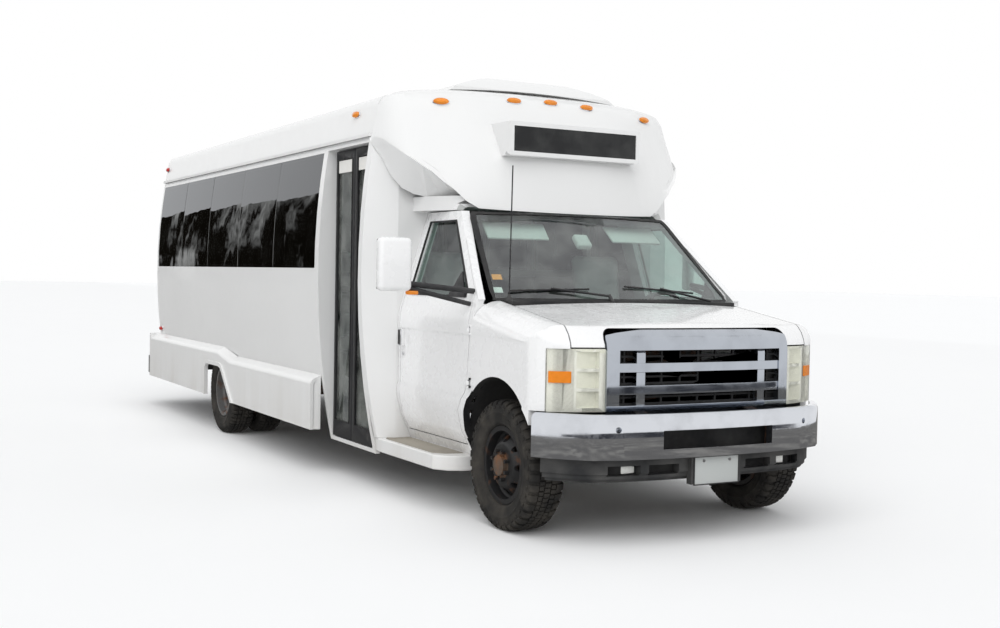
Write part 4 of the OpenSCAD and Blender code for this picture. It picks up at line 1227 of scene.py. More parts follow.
@dataclass
class Tyres:
    """Six tyres with their treads: chunky blocks in front, ribs behind."""

    radius: float = WHEEL_R
    front_half: float = 0.115
    rear_half: float = 0.108
    groove: float = 0.011
    front_pitches: int = 38
    rear_pitches: int = 56
    front_y: float = 0.845
    rear_y: float = 0.950
    pair_half: float = 0.135
    rear_x: float = -WHEELBASE
    lug_edge: float = 0.0018
    root: float = 0.002
    front_steps: int = 96
    rear_steps: int = 84
    front_spin: float = 3.0
    rear_spin: float = 9.0
    shade_angle: float = 35.0

    def carcass(self, name: str, half: float, steps: int) -> bpy.types.Object:
        """The tyre's body without its tread.

        Args:
            name: The piece's name.
            half: Half the tyre's width.
            steps: Facets round it.

        Returns:
            The body, spun round Z at the world origin.
        """
        g = self.groove
        side = [(0.2042, 0.0758), (0.224, 0.0758), (0.229, half - 0.023), (0.236, half - 0.016),
                (0.247, half - 0.012), (0.250, half - 0.0125), (0.270, half - 0.004),
                (0.292, half - 0.001), (0.294, half + 0.0008), (0.299, half + 0.0008),
                (0.301, half - 0.001), (0.318, half - 0.002), (0.338, half - 0.008),
                (0.352, half - 0.022), (self.radius - g, half - 0.044)]
        back = [(r, -z) for r, z in reversed(side)]
        return lathe(name, side + back, steps)

    def lug(self, name: str, section: Sequence[Point], low: float, high: float) -> bpy.types.Object:
        """One tread block: a section of (radius, width) points run round the tyre a little way.

        Args:
            name: The piece's name.
            section: The block's section.
            low: Where it starts along the tread.
            high: Where it ends.

        Returns:
            The block, at angle 0 of the wheel.
        """
        obj = prism(name, section, Axis.Y, low, high)
        obj.data.transform(Matrix.Translation(-at(0, 0, 0)))
        soften(obj, self.lug_edge, 1)
        return obj

    def ring(self, name: str, blocks: Sequence[bpy.types.Object], count: int) -> bpy.types.Object:
        """Blocks of one pitch repeated round the wheel.

        Args:
            name: The ring's name.
            blocks: The blocks of one pitch.
            count: How many pitches go round.

        Returns:
            The ring of blocks.
        """
        pitch = joined(name, blocks)
        bpy.ops.object.select_all(action="DESELECT")
        bpy.ops.object.empty_add(location=(0, 0, 0), rotation=(0, 0, 2 * math.pi / count))
        pivot = bpy.context.object
        apply_modifier(pitch, "ARRAY", count=count, use_relative_offset=False, use_object_offset=True,
                       offset_object=pivot)
        bpy.data.objects.remove(pivot)
        return pitch

    def front(self) -> bpy.types.Object:
        """A front tyre with broken centre blocks, shoulder lugs and side lugs.

        Returns:
            The tyre round Z at the world origin, its outside toward +Z.
        """
        half = self.front_half
        top = self.radius
        low = top - self.groove - self.root
        blocks = []
        for sign in (-1, 1):
            shoulder = [(low, sign * 0.056), (top, sign * 0.056), (top, sign * (half - 0.044)),
                        (0.3655, sign * (half - 0.022)), (0.351, sign * (half - 0.006)),
                        (0.336, sign * (half - 0.0075)), (low - 0.018, sign * 0.07)]
            blocks.append(self.lug("shoulder", shoulder, -0.0205, 0.0175))
            biter = [(0.318, sign * (half - 0.006)), (0.318, sign * (half + 0.0008)),
                     (0.3335, sign * (half - 0.001)), (0.3345, sign * (half - 0.010))]
            blocks.append(self.lug("biter", biter, -0.016, 0.006))
            rows = [(low, sign * 0.024), (top, sign * 0.024), (top, sign * 0.051), (low, sign * 0.051)]
            shift = 0.012 * sign
            blocks.append(self.lug("block", rows, -0.026 + shift, 0.0 + shift))
            blocks.append(self.lug("block", rows, 0.0045 + shift, 0.027 + shift))
        rib = [(low, -0.019), (top, -0.016), (top, 0.019), (low, 0.016)]
        blocks.append(self.lug("rib", rib, -0.027, -0.002))
        rib = [(low, -0.016), (top, -0.019), (top, 0.016), (low, 0.019)]
        blocks.append(self.lug("rib", rib, 0.0025, 0.0275))
        ring = self.ring("front_tread", blocks, self.front_pitches)
        return joined("front_tyre", [self.carcass("front_body", half, self.front_steps), ring])

    def rear(self) -> bpy.types.Object:
        """A rear road tyre with long ribs and shoulder notches.

        Returns:
            The tyre round Z at the world origin.
        """
        half = self.rear_half
        top = self.radius
        low = top - self.groove - self.root
        blocks = []
        for sign in (-1, 1):
            shoulder = [(low, sign * 0.050), (top, sign * 0.050), (top, sign * (half - 0.044)),
                        (0.364, sign * (half - 0.022)), (0.349, sign * (half - 0.008)),
                        (low - 0.014, sign * 0.07)]
            blocks.append(self.lug("shoulder", shoulder, -0.0165, 0.0165))
            rows = [(low, sign * 0.015), (top, sign * 0.015), (top, sign * 0.043), (low, sign * 0.043)]
            blocks.append(self.lug("block", rows, -0.019, 0.0175))
        rib = [(low, -0.009), (top, -0.009), (top, 0.009), (low, 0.009)]
        blocks.append(self.lug("rib", rib, -0.020, 0.0185))
        ring = self.ring("rear_tread", blocks, self.rear_pitches)
        return joined("rear_tyre", [self.carcass("rear_body", half, self.rear_steps), ring])

    def place(self, model: bpy.types.Object, name: str, x: float, y: float, spin: float) -> bpy.types.Object:
        """A copy of a tyre on its wheel.

        Args:
            model: The tyre at the world origin.
            name: The copy's name.
            x: Its axle's place.
            y: The middle of its tread, on the left where positive.
            spin: How far it is turned on its axle, in degrees.

        Returns:
            The copy.
        """
        turn = Matrix.Rotation(math.radians(-90 if y > 0 else 90), 4, "X")
        move = Matrix.Translation(at(x, y, self.radius)) @ turn @ Matrix.Rotation(math.radians(spin), 4, "Z")
        return twin(model, name, move)

    def build(self) -> None:
        """Builds, places and dresses the six tyres."""
        front = self.front()
        sides = (("right", -1, Body.WHEEL_FRONT_RIGHT, Body.WHEELS_REAR_RIGHT),
                 ("left", 1, Body.WHEEL_FRONT_LEFT, Body.WHEELS_REAR_LEFT))
        for side, sign, body, _ in sides:
            tyre = self.place(front, "tyre_front_" + side, 0.0, sign * self.front_y, self.front_spin * sign)
            finish_piece(tyre, Finishes.tyre, body, self.shade_angle)
            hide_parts("front_tyre_" + side)
        rear = self.rear()
        for side, sign, _, body in sides:
            pair = []
            for index, offset in enumerate((self.pair_half, -self.pair_half)):
                y = sign * (self.rear_y + offset)
                pair.append(self.place(rear, "tyre", self.rear_x, y, self.rear_spin * index))
            tyres = joined("tyres_rear_" + side, pair)
            finish_piece(tyres, Finishes.tyre, body, self.shade_angle)
            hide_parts("rear_tyres_" + side)
        bpy.data.objects.remove(front)
        bpy.data.objects.remove(rear)


# Lamps


@dataclass
class Lamps:
    """Marker lamps on the cap and sides, the headlamps' amber ends and the valance inserts."""

    nodes: Nodes
    half_long: float = 0.052
    slim: float = 0.42
    foot_rim: float = 0.007
    foot_slim: float = 0.06
    hub: float = 0.0002
    facets: int = 28
    nose_back: float = 0.25
    nose_deep: float = 0.37
    nose_power: float = 2.8
    amber_from: float = 0.815
    amber_wide: float = 0.105
    amber_steps: int = 6
    amber_proud: float = 0.0018
    amber_sunk: float = -0.004
    amber_low: float = 0.876
    amber_high: float = 0.938
    insert_low: Point = (0.618, -0.565, 0.392)
    insert_high: Point = (0.646, -0.478, 0.434)
    front: Sequence[Point] = ((-1.14, -0.800, 2.560), (-1.10, -0.285, 2.595), (-1.105, 0.0, 2.606),
                              (-1.10, 0.285, 2.595), (-1.14, 0.800, 2.560))
    side: Point = (-1.788, -1.118, 2.513)
    rear_high: Point = (-6.936, -1.124, 2.478)
    rear_low: Point = (-6.917, -1.184, 0.825)

    def base(self, name: str) -> bpy.types.Object:
        """A lamp's oval foot at the world origin.

        Args:
            name: The piece's name.

        Returns:
            The foot.
        """
        r = self.half_long + self.foot_rim
        profile = [(self.hub, -0.012), (r, -0.012), (r, 0.002), (r - 0.005, 0.007), (self.hub, 0.007)]
        obj = lathe(name, profile, self.facets)
        obj.data.transform(Matrix.Diagonal((1.0, self.slim + self.foot_slim, 1.0, 1.0)))
        return obj

    def dome(self, name: str) -> bpy.types.Object:
        """A lamp's domed oval lens at the world origin.

        Args:
            name: The piece's name.

        Returns:
            The lens.
        """
        r = self.half_long
        profile = [(self.hub, 0.004), (r, 0.004), (r, 0.011), (0.86 * r, 0.020), (0.5 * r, 0.025),
                   (self.hub, 0.027)]
        obj = lathe(name, profile, self.facets)
        obj.data.transform(Matrix.Diagonal((1.0, self.slim, 1.0, 1.0)))
        return obj

    def markers(self) -> None:
        """Places all the marker lamps."""
        spots = [(self.nodes["front_cap"], point, "amber") for point in self.front]
        for sign in (1, -1):
            for node, point, colour in (("roof", self.side, "amber"), ("roof", self.rear_high, "red"),
                                        ("wall_right" if sign > 0 else "wall_left", self.rear_low, "red")):
                spots.append((self.nodes[node], (point[0], sign * point[1], point[2]), colour))
        foot = self.base("marker_foot")
        lens = self.dome("marker_lens")
        feet = []
        lenses = {"amber": [], "red": []}
        for node, point, colour in spots:
            move = snap(node, point)
            feet.append(twin(foot, "foot", move))
            lenses[colour].append(twin(lens, "lens", move))
        finish_piece(joined("marker_feet", feet), Finishes.chrome, Body.BUS)
        finish_piece(joined("marker_lenses_amber", lenses["amber"]), Finishes.amber, Body.BUS)
        finish_piece(joined("marker_lenses_red", lenses["red"]), Finishes.red, Body.BUS)
        bpy.data.objects.remove(foot)
        bpy.data.objects.remove(lens)

    def nose(self, y: float, off: float) -> Point:
        """A point on the nose's plan, moved outward.

        Args:
            y: Half width where it lies.
            off: How far out from the surface.

        Returns:
            Its x and y, for the bus's right side.
        """
        n = self.nose_power
        x = (1.0 - y ** n) ** (1.0 / n)
        out = Vector((x ** (n - 1) / self.nose_deep, y ** (n - 1))).normalized()
        return (self.nose_back + self.nose_deep * x + off * out.x, -(y + off * out.y))

    def headlamp_ends(self) -> None:
        """Amber blocks at the headlamps' outer ends."""
        count = self.amber_steps
        steps = [self.amber_from + self.amber_wide * i / count for i in range(count + 1)]
        outline = [self.nose(y, self.amber_proud) for y in steps]
        outline += [self.nose(y, self.amber_sunk) for y in reversed(steps)]
        right = prism("headlamp_amber_right", outline, Axis.Z, self.amber_low, self.amber_high, 0.0012, 1)
        left = mirrored(right, "headlamp_amber_left")
        for obj in (right, left):
            finish_piece(obj, Finishes.amber, Body.BUS)

    def inserts(self) -> None:
        """Clear inserts in the valance's outer slots."""
        right = block("valance_insert_right", self.insert_low, self.insert_high, 0.006, 3)
        left = mirrored(right, "valance_insert_left")
        for obj in (right, left):
            finish_piece(obj, Finishes.reflector, Body.BUS)

    def build(self) -> None:
        """Builds every lamp piece."""
        self.markers()
        self.headlamp_ends()
        self.inserts()


# Front


@dataclass
class Front:
    """Plate, cowl grating, aerial foot and what shows behind the windshield."""

    nodes: Nodes
    plate_half: float = 0.1525
    plate_low: float = 0.322
    plate_high: float = 0.474
    plate_x: float = 0.742
    plate_thick: float = 0.003
    bolt_y: float = 0.0889
    bolt_z: float = 0.452
    bolt_r: float = 0.008
    # plan and heights of a near-black sheet behind the bumper's and valance's openings: painted shade for
    # the dark space behind them
    painted_shade_sheet_plan: Sequence[Point] = ((0.530, -0.740), (0.640, -0.600), (0.668, 0.0), (0.640, 0.600),
                                    (0.530, 0.740), (0.512, 0.740), (0.622, 0.590), (0.650, 0.0),
                                    (0.622, -0.590), (0.512, -0.740))
    painted_shade_sheet_low: float = 0.378
    painted_shade_sheet_high: float = 0.690
    rib_low: Point = (-0.286, -0.772, 1.2945)
    rib_high: Point = (-0.196, -0.764, 1.2990)
    rib_count: int = 60
    rib_pitch: float = 0.026
    aerial: Point = (-0.196, -0.798, 1.296)
    aerial_profile: Sequence[Point] = ((0.0045, -0.006), (0.024, -0.006), (0.023, 0.004), (0.014, 0.018),
                                       (0.0075, 0.034), (0.0045, 0.036))
    strip_inset: Point = (-0.0062, 0.0, -0.0066)
    strip_low: Point = (-1.2, -1.0, 1.786)
    strip_high: Point = (0.0, 1.0, 1.9)
    visor: Point = (-0.72, -0.45, 1.760)
    visor_size: Point = (0.42, 0.15, 0.016)
    visor_behind: float = 0.055
    box: Point = (-0.608, -0.018, 1.704)
    box_size: Point = (0.105, 0.110, 0.045)
    box_behind: float = 0.030
    sticker_upper: Point = (-0.398, -0.770, 1.437)
    sticker_lower: Point = (-0.330, -0.800, 1.362)
    sticker_size: Point = (0.062, 0.046, 0.0008)
    sticker_behind: float = 0.0085
    dash_section: Sequence[Point] = ((-0.302, 1.206), (-0.302, 1.232), (-0.42, 1.241), (-0.55, 1.226),
                                     (-0.568, 1.206))
    dash_half: float = 0.86
    dial_low: Point = (-0.585, 0.425, 1.200)
    dial_high: Point = (-0.430, 0.775, 1.285)

    def plate(self) -> None:
        """A blank plate, its frame and its two bolts."""
        x = self.plate_x
        h = self.plate_half
        obj = block("plate", (x, -h, self.plate_low), (x + self.plate_thick, h, self.plate_high), 0.0012, 2)
        finish_piece(obj, Finishes.plate, Body.BUS)
        rim_x = x + 0.002
        corners = [(rim_x, -h, self.plate_low), (rim_x, h, self.plate_low), (rim_x, h, self.plate_high),
                   (rim_x, -h, self.plate_high)]
        finish_piece(bead("plate_frame", corners, 0.005, True), Finishes.trim, Body.BUS)
        bolts = []
        for sign in (-1, 1):
            centre = (x + 0.005, sign * self.bolt_y, self.bolt_z)
            bolts.append(drum("plate_bolt", centre, Axis.X, self.bolt_r, 0.006, 12, 0.0015))
        finish_piece(joined("plate_bolts", bolts), Finishes.steel, Body.BUS)

    def painted_shade_sheet(self) -> None:
        """A near-black sheet that closes the view through the bumper's and valance's openings: painted shade
        for the dark space behind them.
        """
        wall = prism("front_baffle", self.painted_shade_sheet_plan, Axis.Z, self.painted_shade_sheet_low, self.painted_shade_sheet_high, 0.003, 1)
        finish_piece(wall, Finishes.liner_and_painted_shade, Body.BUS)

    def cowl(self) -> None:
        """Cross ribs on the cowl and the aerial's foot."""
        ribs = block("cowl_ribs", self.rib_low, self.rib_high, 0.0012, 1)
        apply_modifier(ribs, "ARRAY", count=self.rib_count, use_relative_offset=False,
                       use_constant_offset=True, constant_offset_displace=(0.0, self.rib_pitch, 0.0))
        finish_piece(ribs, Finishes.trim, Body.BUS)
        foot = lathe("aerial_foot", self.aerial_profile, 24)
        foot.data.transform(Matrix.Translation(at(*self.aerial)))
        finish_piece(foot, Finishes.trim, Body.BUS)

    def on_screen(self, name: str, point: Point, size: Point, behind: float,
                  round_by: float) -> bpy.types.Object:
        """A flat box that lies along the windshield, behind it.

        Args:
            name: The piece's name.
            point: The spot on the glass that it is behind, measured from the axle.
            size: Its width, height along the glass and thickness.
            behind: How far its face is from the glass's outside.
            round_by: Rounding of its edges.

        Returns:
            The piece.
        """
        move = snap(self.nodes["windshield"], point)
        low = (-size[0] / 2, -size[1] / 2, -behind - size[2])
        high = (size[0] / 2, size[1] / 2, -behind)
        return loose(block(name, low, high, round_by, 3), move)

    def screen(self) -> None:
        """Tint strip, visors, a hanging box and blank stickers behind the glass."""
        strip = twin(self.nodes["windshield"], "tint_strip", Matrix.Translation(self.strip_inset))
        strip.modifiers.clear()
        apply_modifier(strip, "WELD", merge_threshold=1e-5)
        cutter = block("cutter", self.strip_low, self.strip_high)
        apply_modifier(strip, "BOOLEAN", operation="INTERSECT", object=cutter, solver="EXACT")
        bpy.data.objects.remove(cutter)
        finish_piece(strip, Finishes.strip, Body.BUS)
        right = self.on_screen("visor_right", self.visor, self.visor_size, self.visor_behind, 0.007)
        left = mirrored(right, "visor_left")
        for obj in (right, left):
            finish_piece(obj, Finishes.pale_trim, Body.BUS)
        box = self.on_screen("screen_box", self.box, self.box_size, self.box_behind, 0.014)
        finish_piece(box, Finishes.pale_trim, Body.BUS)
        for name, point, finish in (("sticker_upper", self.sticker_upper, Finishes.orange),
                                    ("sticker_lower", self.sticker_lower, Finishes.paper)):
            sticker = self.on_screen(name, point, self.sticker_size, self.sticker_behind, 0.0)
            soften(sticker, 0.0003, 1)
            finish_piece(sticker, finish, Body.BUS)

    def dash(self) -> None:
        """The dash's padded top and its instrument hood."""
        pad = prism("dash_top", self.dash_section, Axis.Y, -self.dash_half, self.dash_half, 0.007, 3)
        finish_piece(pad, Finishes.dash, Body.BUS)
        hood = block("instrument_hood", self.dial_low, self.dial_high, 0.030, 4)
        finish_piece(hood, Finishes.trim, Body.BUS)

    def build(self) -> None:
        """Builds every piece of the front."""
        self.plate()
        # the near-black sheet behind the front openings is painted shade
        self.painted_shade_sheet()
        self.cowl()
        self.screen()
        self.dash()


# Sides


@dataclass
class Sides:
    """Mirrors, door trim, step pads and what the entry leaves carry."""

    arm_r: float = 0.017
    stay_r: float = 0.014
    arm_right: Sequence[Point] = ((-0.352, -0.950, 1.345), (-0.346, -1.010, 1.350), (-0.312, -1.340, 1.380),
                                  (-0.308, -1.405, 1.385))
    stay_right: Sequence[Point] = ((-0.352, -0.972, 1.270), (-0.346, -1.030, 1.282), (-0.312, -1.330, 1.346),
                                   (-0.308, -1.405, 1.362))
    arm_left: Sequence[Point] = ((-0.352, 0.950, 1.345), (-0.420, 0.968, 1.352), (-0.770, 0.990, 1.396),
                                 (-0.812, 0.990, 1.400))
    stay_left: Sequence[Point] = ((-0.352, 0.972, 1.270), (-0.420, 0.982, 1.286), (-0.770, 0.993, 1.368),
                                  (-0.812, 0.994, 1.378))
    fold_at: Point = (-0.790, 0.990, 0.0)
    fold_turn: float = 154.0
    pane: Sequence[Point] = ((-1.222, 1.312), (-1.230, 1.780), (-0.862, 1.780), (-0.440, 1.362),
                             (-0.424, 1.312))
    sail: Sequence[Point] = ((-0.425, 1.306), (-0.655, 1.306), (-0.610, 1.360), (-0.553, 1.462))
    lock: Point = (-1.2385, -0.995, 0.925)
    step_plan: Sequence[Point] = ((-1.355, 0.900), (-1.355, 1.050), (-1.300, 1.078), (-0.620, 1.070),
                                  (-0.560, 1.010), (-0.545, 0.900))
    step_top: float = 0.3612
    step_pad: float = 0.3655
    leaf_glass: Sequence[Point] = ((-1.799, -1.537), (-2.165, -1.903))
    seal_y: float = -1.0975
    seal_low: float = 0.393
    seal_high: float = 2.232
    grab_foot_y: float = -1.066
    grab_bend_y: float = -1.040
    grab_y: float = -1.034

    def arms(self, name: str, arm: Sequence[Point], stay: Sequence[Point], body: Body) -> None:
        """A mirror's arm and the thinner stay under it.

        Args:
            name: The piece's name.
            arm: The arm's path.
            stay: The stay's path.
            body: The door that carries them.
        """
        pair = [bead("mirror_arm", arm, self.arm_r), bead("mirror_arm", stay, self.stay_r)]
        finish_piece(joined(name, pair), Finishes.trim, body)

    def mirror_right(self) -> None:
        """The right mirror: a white shell on black arms."""
        shell = block("mirror_shell_right", (-0.336, -1.588, 1.342), (-0.258, -1.386, 1.644), 0.030, 5)
        finish_piece(shell, Finishes.cab, Body.DOOR_RIGHT)
        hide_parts("mirror_right")
        rim = block("mirror_rim_right", (-0.3385, -1.578, 1.352), (-0.326, -1.396, 1.634), 0.005, 2)
        finish_piece(rim, Finishes.trim, Body.DOOR_RIGHT)
        glass = block("mirror_face_right", (-0.3400, -1.568, 1.364), (-0.3375, -1.406, 1.624), 0.0008, 1)
        finish_piece(glass, Finishes.mirror, Body.DOOR_RIGHT)
        self.arms("mirror_arms_right", self.arm_right, self.stay_right, Body.DOOR_RIGHT)
        lens = block("mirror_lens_right", (-0.322, -1.405, 1.322), (-0.290, -1.335, 1.345), 0.007, 3)
        finish_piece(lens, Finishes.amber, Body.DOOR_RIGHT)

    def mirror_left(self) -> None:
        """The left mirror, folded back along its door."""
        turn = Matrix.Translation(at(*self.fold_at)) @ Matrix.Rotation(math.radians(self.fold_turn), 4, "Z")
        shell = block("mirror_shell_left", (0.001, -0.018, 1.361), (0.204, 0.037, 1.644), 0.026, 5)
        finish_piece(loose(shell, turn), Finishes.cab, Body.DOOR_LEFT)
        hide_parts("mirror_left")
        self.arms("mirror_arms_left", self.arm_left, self.stay_left, Body.DOOR_LEFT)

    def leaned(self, obj: bpy.types.Object) -> bpy.types.Object:
        """Lays a flat piece, built at y 0, on the right door's leaning side above the belt.

        Args:
            obj: The piece.

        Returns:
            The same object.
        """
        for vertex in obj.data.vertices:
            vertex.co.y -= cab_half(vertex.co.z)
        return obj

    def doors(self) -> None:
        """Window rubbers, sails, handles and locks of the cab doors."""
        rubber = self.leaned(bead("door_rubber_right", [(x, 0.0, z) for x, z in self.pane], 0.008, True, 2))
        sail = self.leaned(prism("door_sail_right", self.sail, Axis.Y, -0.016, 0.001, 0.005, 2))
        bezel = block("handle_bezel_right", (-1.2585, -1.0262, 0.974), (-1.2195, -1.012, 1.086), 0.004, 2)
        pull = block("handle_pull_right", (-1.2525, -1.0300, 0.981), (-1.2255, -1.018, 1.079), 0.0045, 3)
        lock = drum("door_lock_right", self.lock, Axis.Y, 0.012, 0.014, 20, 0.002)
        pieces = ((rubber, Finishes.rubber, "black_trim"), (sail, Finishes.trim, "black_trim"),
                  (bezel, Finishes.chrome, "chrome"), (pull, Finishes.trim, "black_trim"),
                  (lock, Finishes.chrome, "chrome"))
        for obj, finish, slot in pieces:
            left = mirrored(obj, obj.name.replace("right", "left"))
            finish_piece(obj, finish, Body.DOOR_RIGHT)
            finish_piece(left, finish, Body.DOOR_LEFT)

    def steps(self) -> None:
        """Grit pads on the cab steps."""
        left = prism("step_pad_left", self.step_plan, Axis.Z, self.step_top, self.step_pad, 0.0015, 1)
        right = mirrored(left, "step_pad_right")
        for obj in (left, right):
            finish_piece(obj, Finishes.grit, Body.BUS)

    def entry(self) -> None:
        """Glass seals, blank white top panels and inside grab bars of the entry leaves."""
        bodies = (Body.ENTRY_FRONT, Body.ENTRY_REAR)
        y = self.seal_y
        for body, (x0, x1), name in zip(bodies, self.leaf_glass, ("front", "rear")):
            corners = [(x0, y, self.seal_low), (x1, y, self.seal_low), (x1, y, self.seal_high),
                       (x0, y, self.seal_high)]
            seal = bead("entry_seal_" + name, corners, 0.005, True, 2)
            finish_piece(seal, Finishes.rubber, body)
            low = (x0 + 0.006, -1.0965, 2.140)
            high = (x1 - 0.006, -1.0900, 2.226)
            panel = block("entry_panel_" + name, low, high, 0.001, 1)
            finish_piece(panel, Finishes.paper, body)
            x = (x0 + x1) / 2
            foot = x0 + 0.002
            bar = [(foot, self.grab_foot_y, 0.980), (foot, self.grab_bend_y, 0.990), (x, self.grab_y, 1.010),
                   (x, self.grab_y, 1.560), (foot, self.grab_bend_y, 1.590), (foot, self.grab_foot_y, 1.600)]
            grab = bead("entry_grab_" + name, bar, 0.011)
            finish_piece(grab, Finishes.chrome, body)

    def build(self) -> None:
        """Builds every piece of the sides."""
        self.mirror_right()
        self.mirror_left()
        self.doors()
        self.steps()
        self.entry()


# Seats


@dataclass
class Seats:
    """Cab seats and the coach's benches, their cushions swollen as cloth."""

    seat_y: float = 0.585
    seat_fill: float = 0.8
    base_half: float = 0.232
    back_half: float = 0.213
    box_half: float = 0.178
    lean: float = -10.0
    lean_at: Point = (-1.270, 0.0, 1.000)
    wall_y: float = 1.118
    bench_y: float = 0.665
    bench_rear: float = -6.60
    right_front: float = -2.422
    left_front: float = -1.702
    end_rear: float = -6.948
    end_front: float = -6.455
    bench_low: float = 0.870
    bench_top: float = 1.290
    cushion: float = 0.150
    cushion_half: float = 0.332
    cushion_y: float = 1.119
    row_rear: float = -6.43
    rows: Sequence[tuple] = (("right", 6, -2.42, -1), ("left", 7, -1.70, 1))
    end_x: float = -6.95
    end_y: float = 1.12
    end_pitch: float = 0.67

    def cab(self) -> None:
        """Two cab seats on their pedestals."""
        y = self.seat_y
        base = padded("seat_base_left", (-1.268, y - self.base_half, 0.931),
                      (-0.832, y + self.base_half, 1.062), 0.009, 0.016)
        back = padded("seat_back_left", (-1.378, y - self.back_half, 1.010),
                      (-1.252, y + self.back_half, 1.636), 0.009, 0.016)
        pivot = Matrix.Translation(at(*self.lean_at))
        back.data.transform(pivot @ Matrix.Rotation(math.radians(self.lean), 4, "Y") @ pivot.inverted())
        box = block("seat_box_left", (-1.198, y - self.box_half, 0.690), (-0.862, y + self.box_half, 0.932),
                    0.012, 2)
        for obj, finish in ((base, Finishes.seat), (back, Finishes.seat), (box, Finishes.dash)):
            other = mirrored(obj, obj.name.replace("left", "right"))
            for piece in (obj, other):
                finish_piece(piece, finish, Body.BUS, 60)
        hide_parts("cab_seats")

    def row(self, model: bpy.types.Object, spots: Sequence[Matrix], name: str) -> None:
        """Copies a cushion to its places as one piece.

        Args:
            model: The cushion, built round the axle's zero.
            spots: The frame of each copy.
            name: The joined piece's name.
        """
        copies = [loose(twin(model, name, Matrix.Identity(4)), spot) for spot in spots]
        obj = joined(name, copies)
        finish_piece(obj, Finishes.hide, Body.BUS, 60)

    def spots(self, depth: float, low: float) -> dict[str, list[Matrix]]:
        """Where the cushions of each bench stand, side by side.

        Args:
            depth: How far a cushion's wall side is from the bus's middle.
            low: The height that they rest on.

        Returns:
            The frames of the cushions by bench.
        """
        found = {"right": [], "left": [], "rear": []}
        for side, count, ahead, sign in self.rows:
            pitch = (ahead - self.row_rear) / count
            for index in range(count):
                move = Matrix.Translation(at(self.row_rear + pitch * (index + 0.5), sign * depth, low))
                found[side].append(move @ Matrix.Rotation(math.pi if sign > 0 else 0.0, 4, "Z"))
        for index in range(3):
            place = at(self.end_x + self.end_y - depth, -self.end_pitch + self.end_pitch * index, low)
            found["rear"].append(Matrix.Translation(place) @ Matrix.Rotation(-math.pi / 2, 4, "Z"))
        return found

    def benches(self) -> None:
        """Plinths, seat cushions and back cushions along the coach's walls."""
        low = self.bench_low
        top = self.bench_top - self.cushion
        wall = self.wall_y
        boxes = (((self.bench_rear, -wall, low), (self.right_front, -self.bench_y, top)),
                 ((self.bench_rear, self.bench_y, low), (self.left_front, wall, top)),
                 ((self.end_rear, -wall, low), (self.end_front, wall, top)))
        plinths = [block("plinth", near, far, 0.010, 2) for near, far in boxes]
        plinth = joined("bench_plinths", plinths)
        finish_piece(plinth, Finishes.vinyl, Body.BUS)
        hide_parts("benches")
        half = self.cushion_half
        seat = padded("bench_seat", (-half, 0.0, 0.0), (half, 0.478, self.cushion), 0.011, 0.016)
        back = padded("bench_back", (-half, 0.0, 0.0), (half, 0.118, 0.175), 0.010, 0.012)
        sets = ((seat, top, "bench_seats_"), (back, self.bench_top - 0.006, "bench_backs_"))
        for model, rest, name in sets:
            for side, spots in self.spots(self.cushion_y, rest).items():
                self.row(model, spots, name + side)
            bpy.data.objects.remove(model)

    def build(self) -> None:
        """Builds the seats."""
        self.cab()
        self.benches()


# Stage


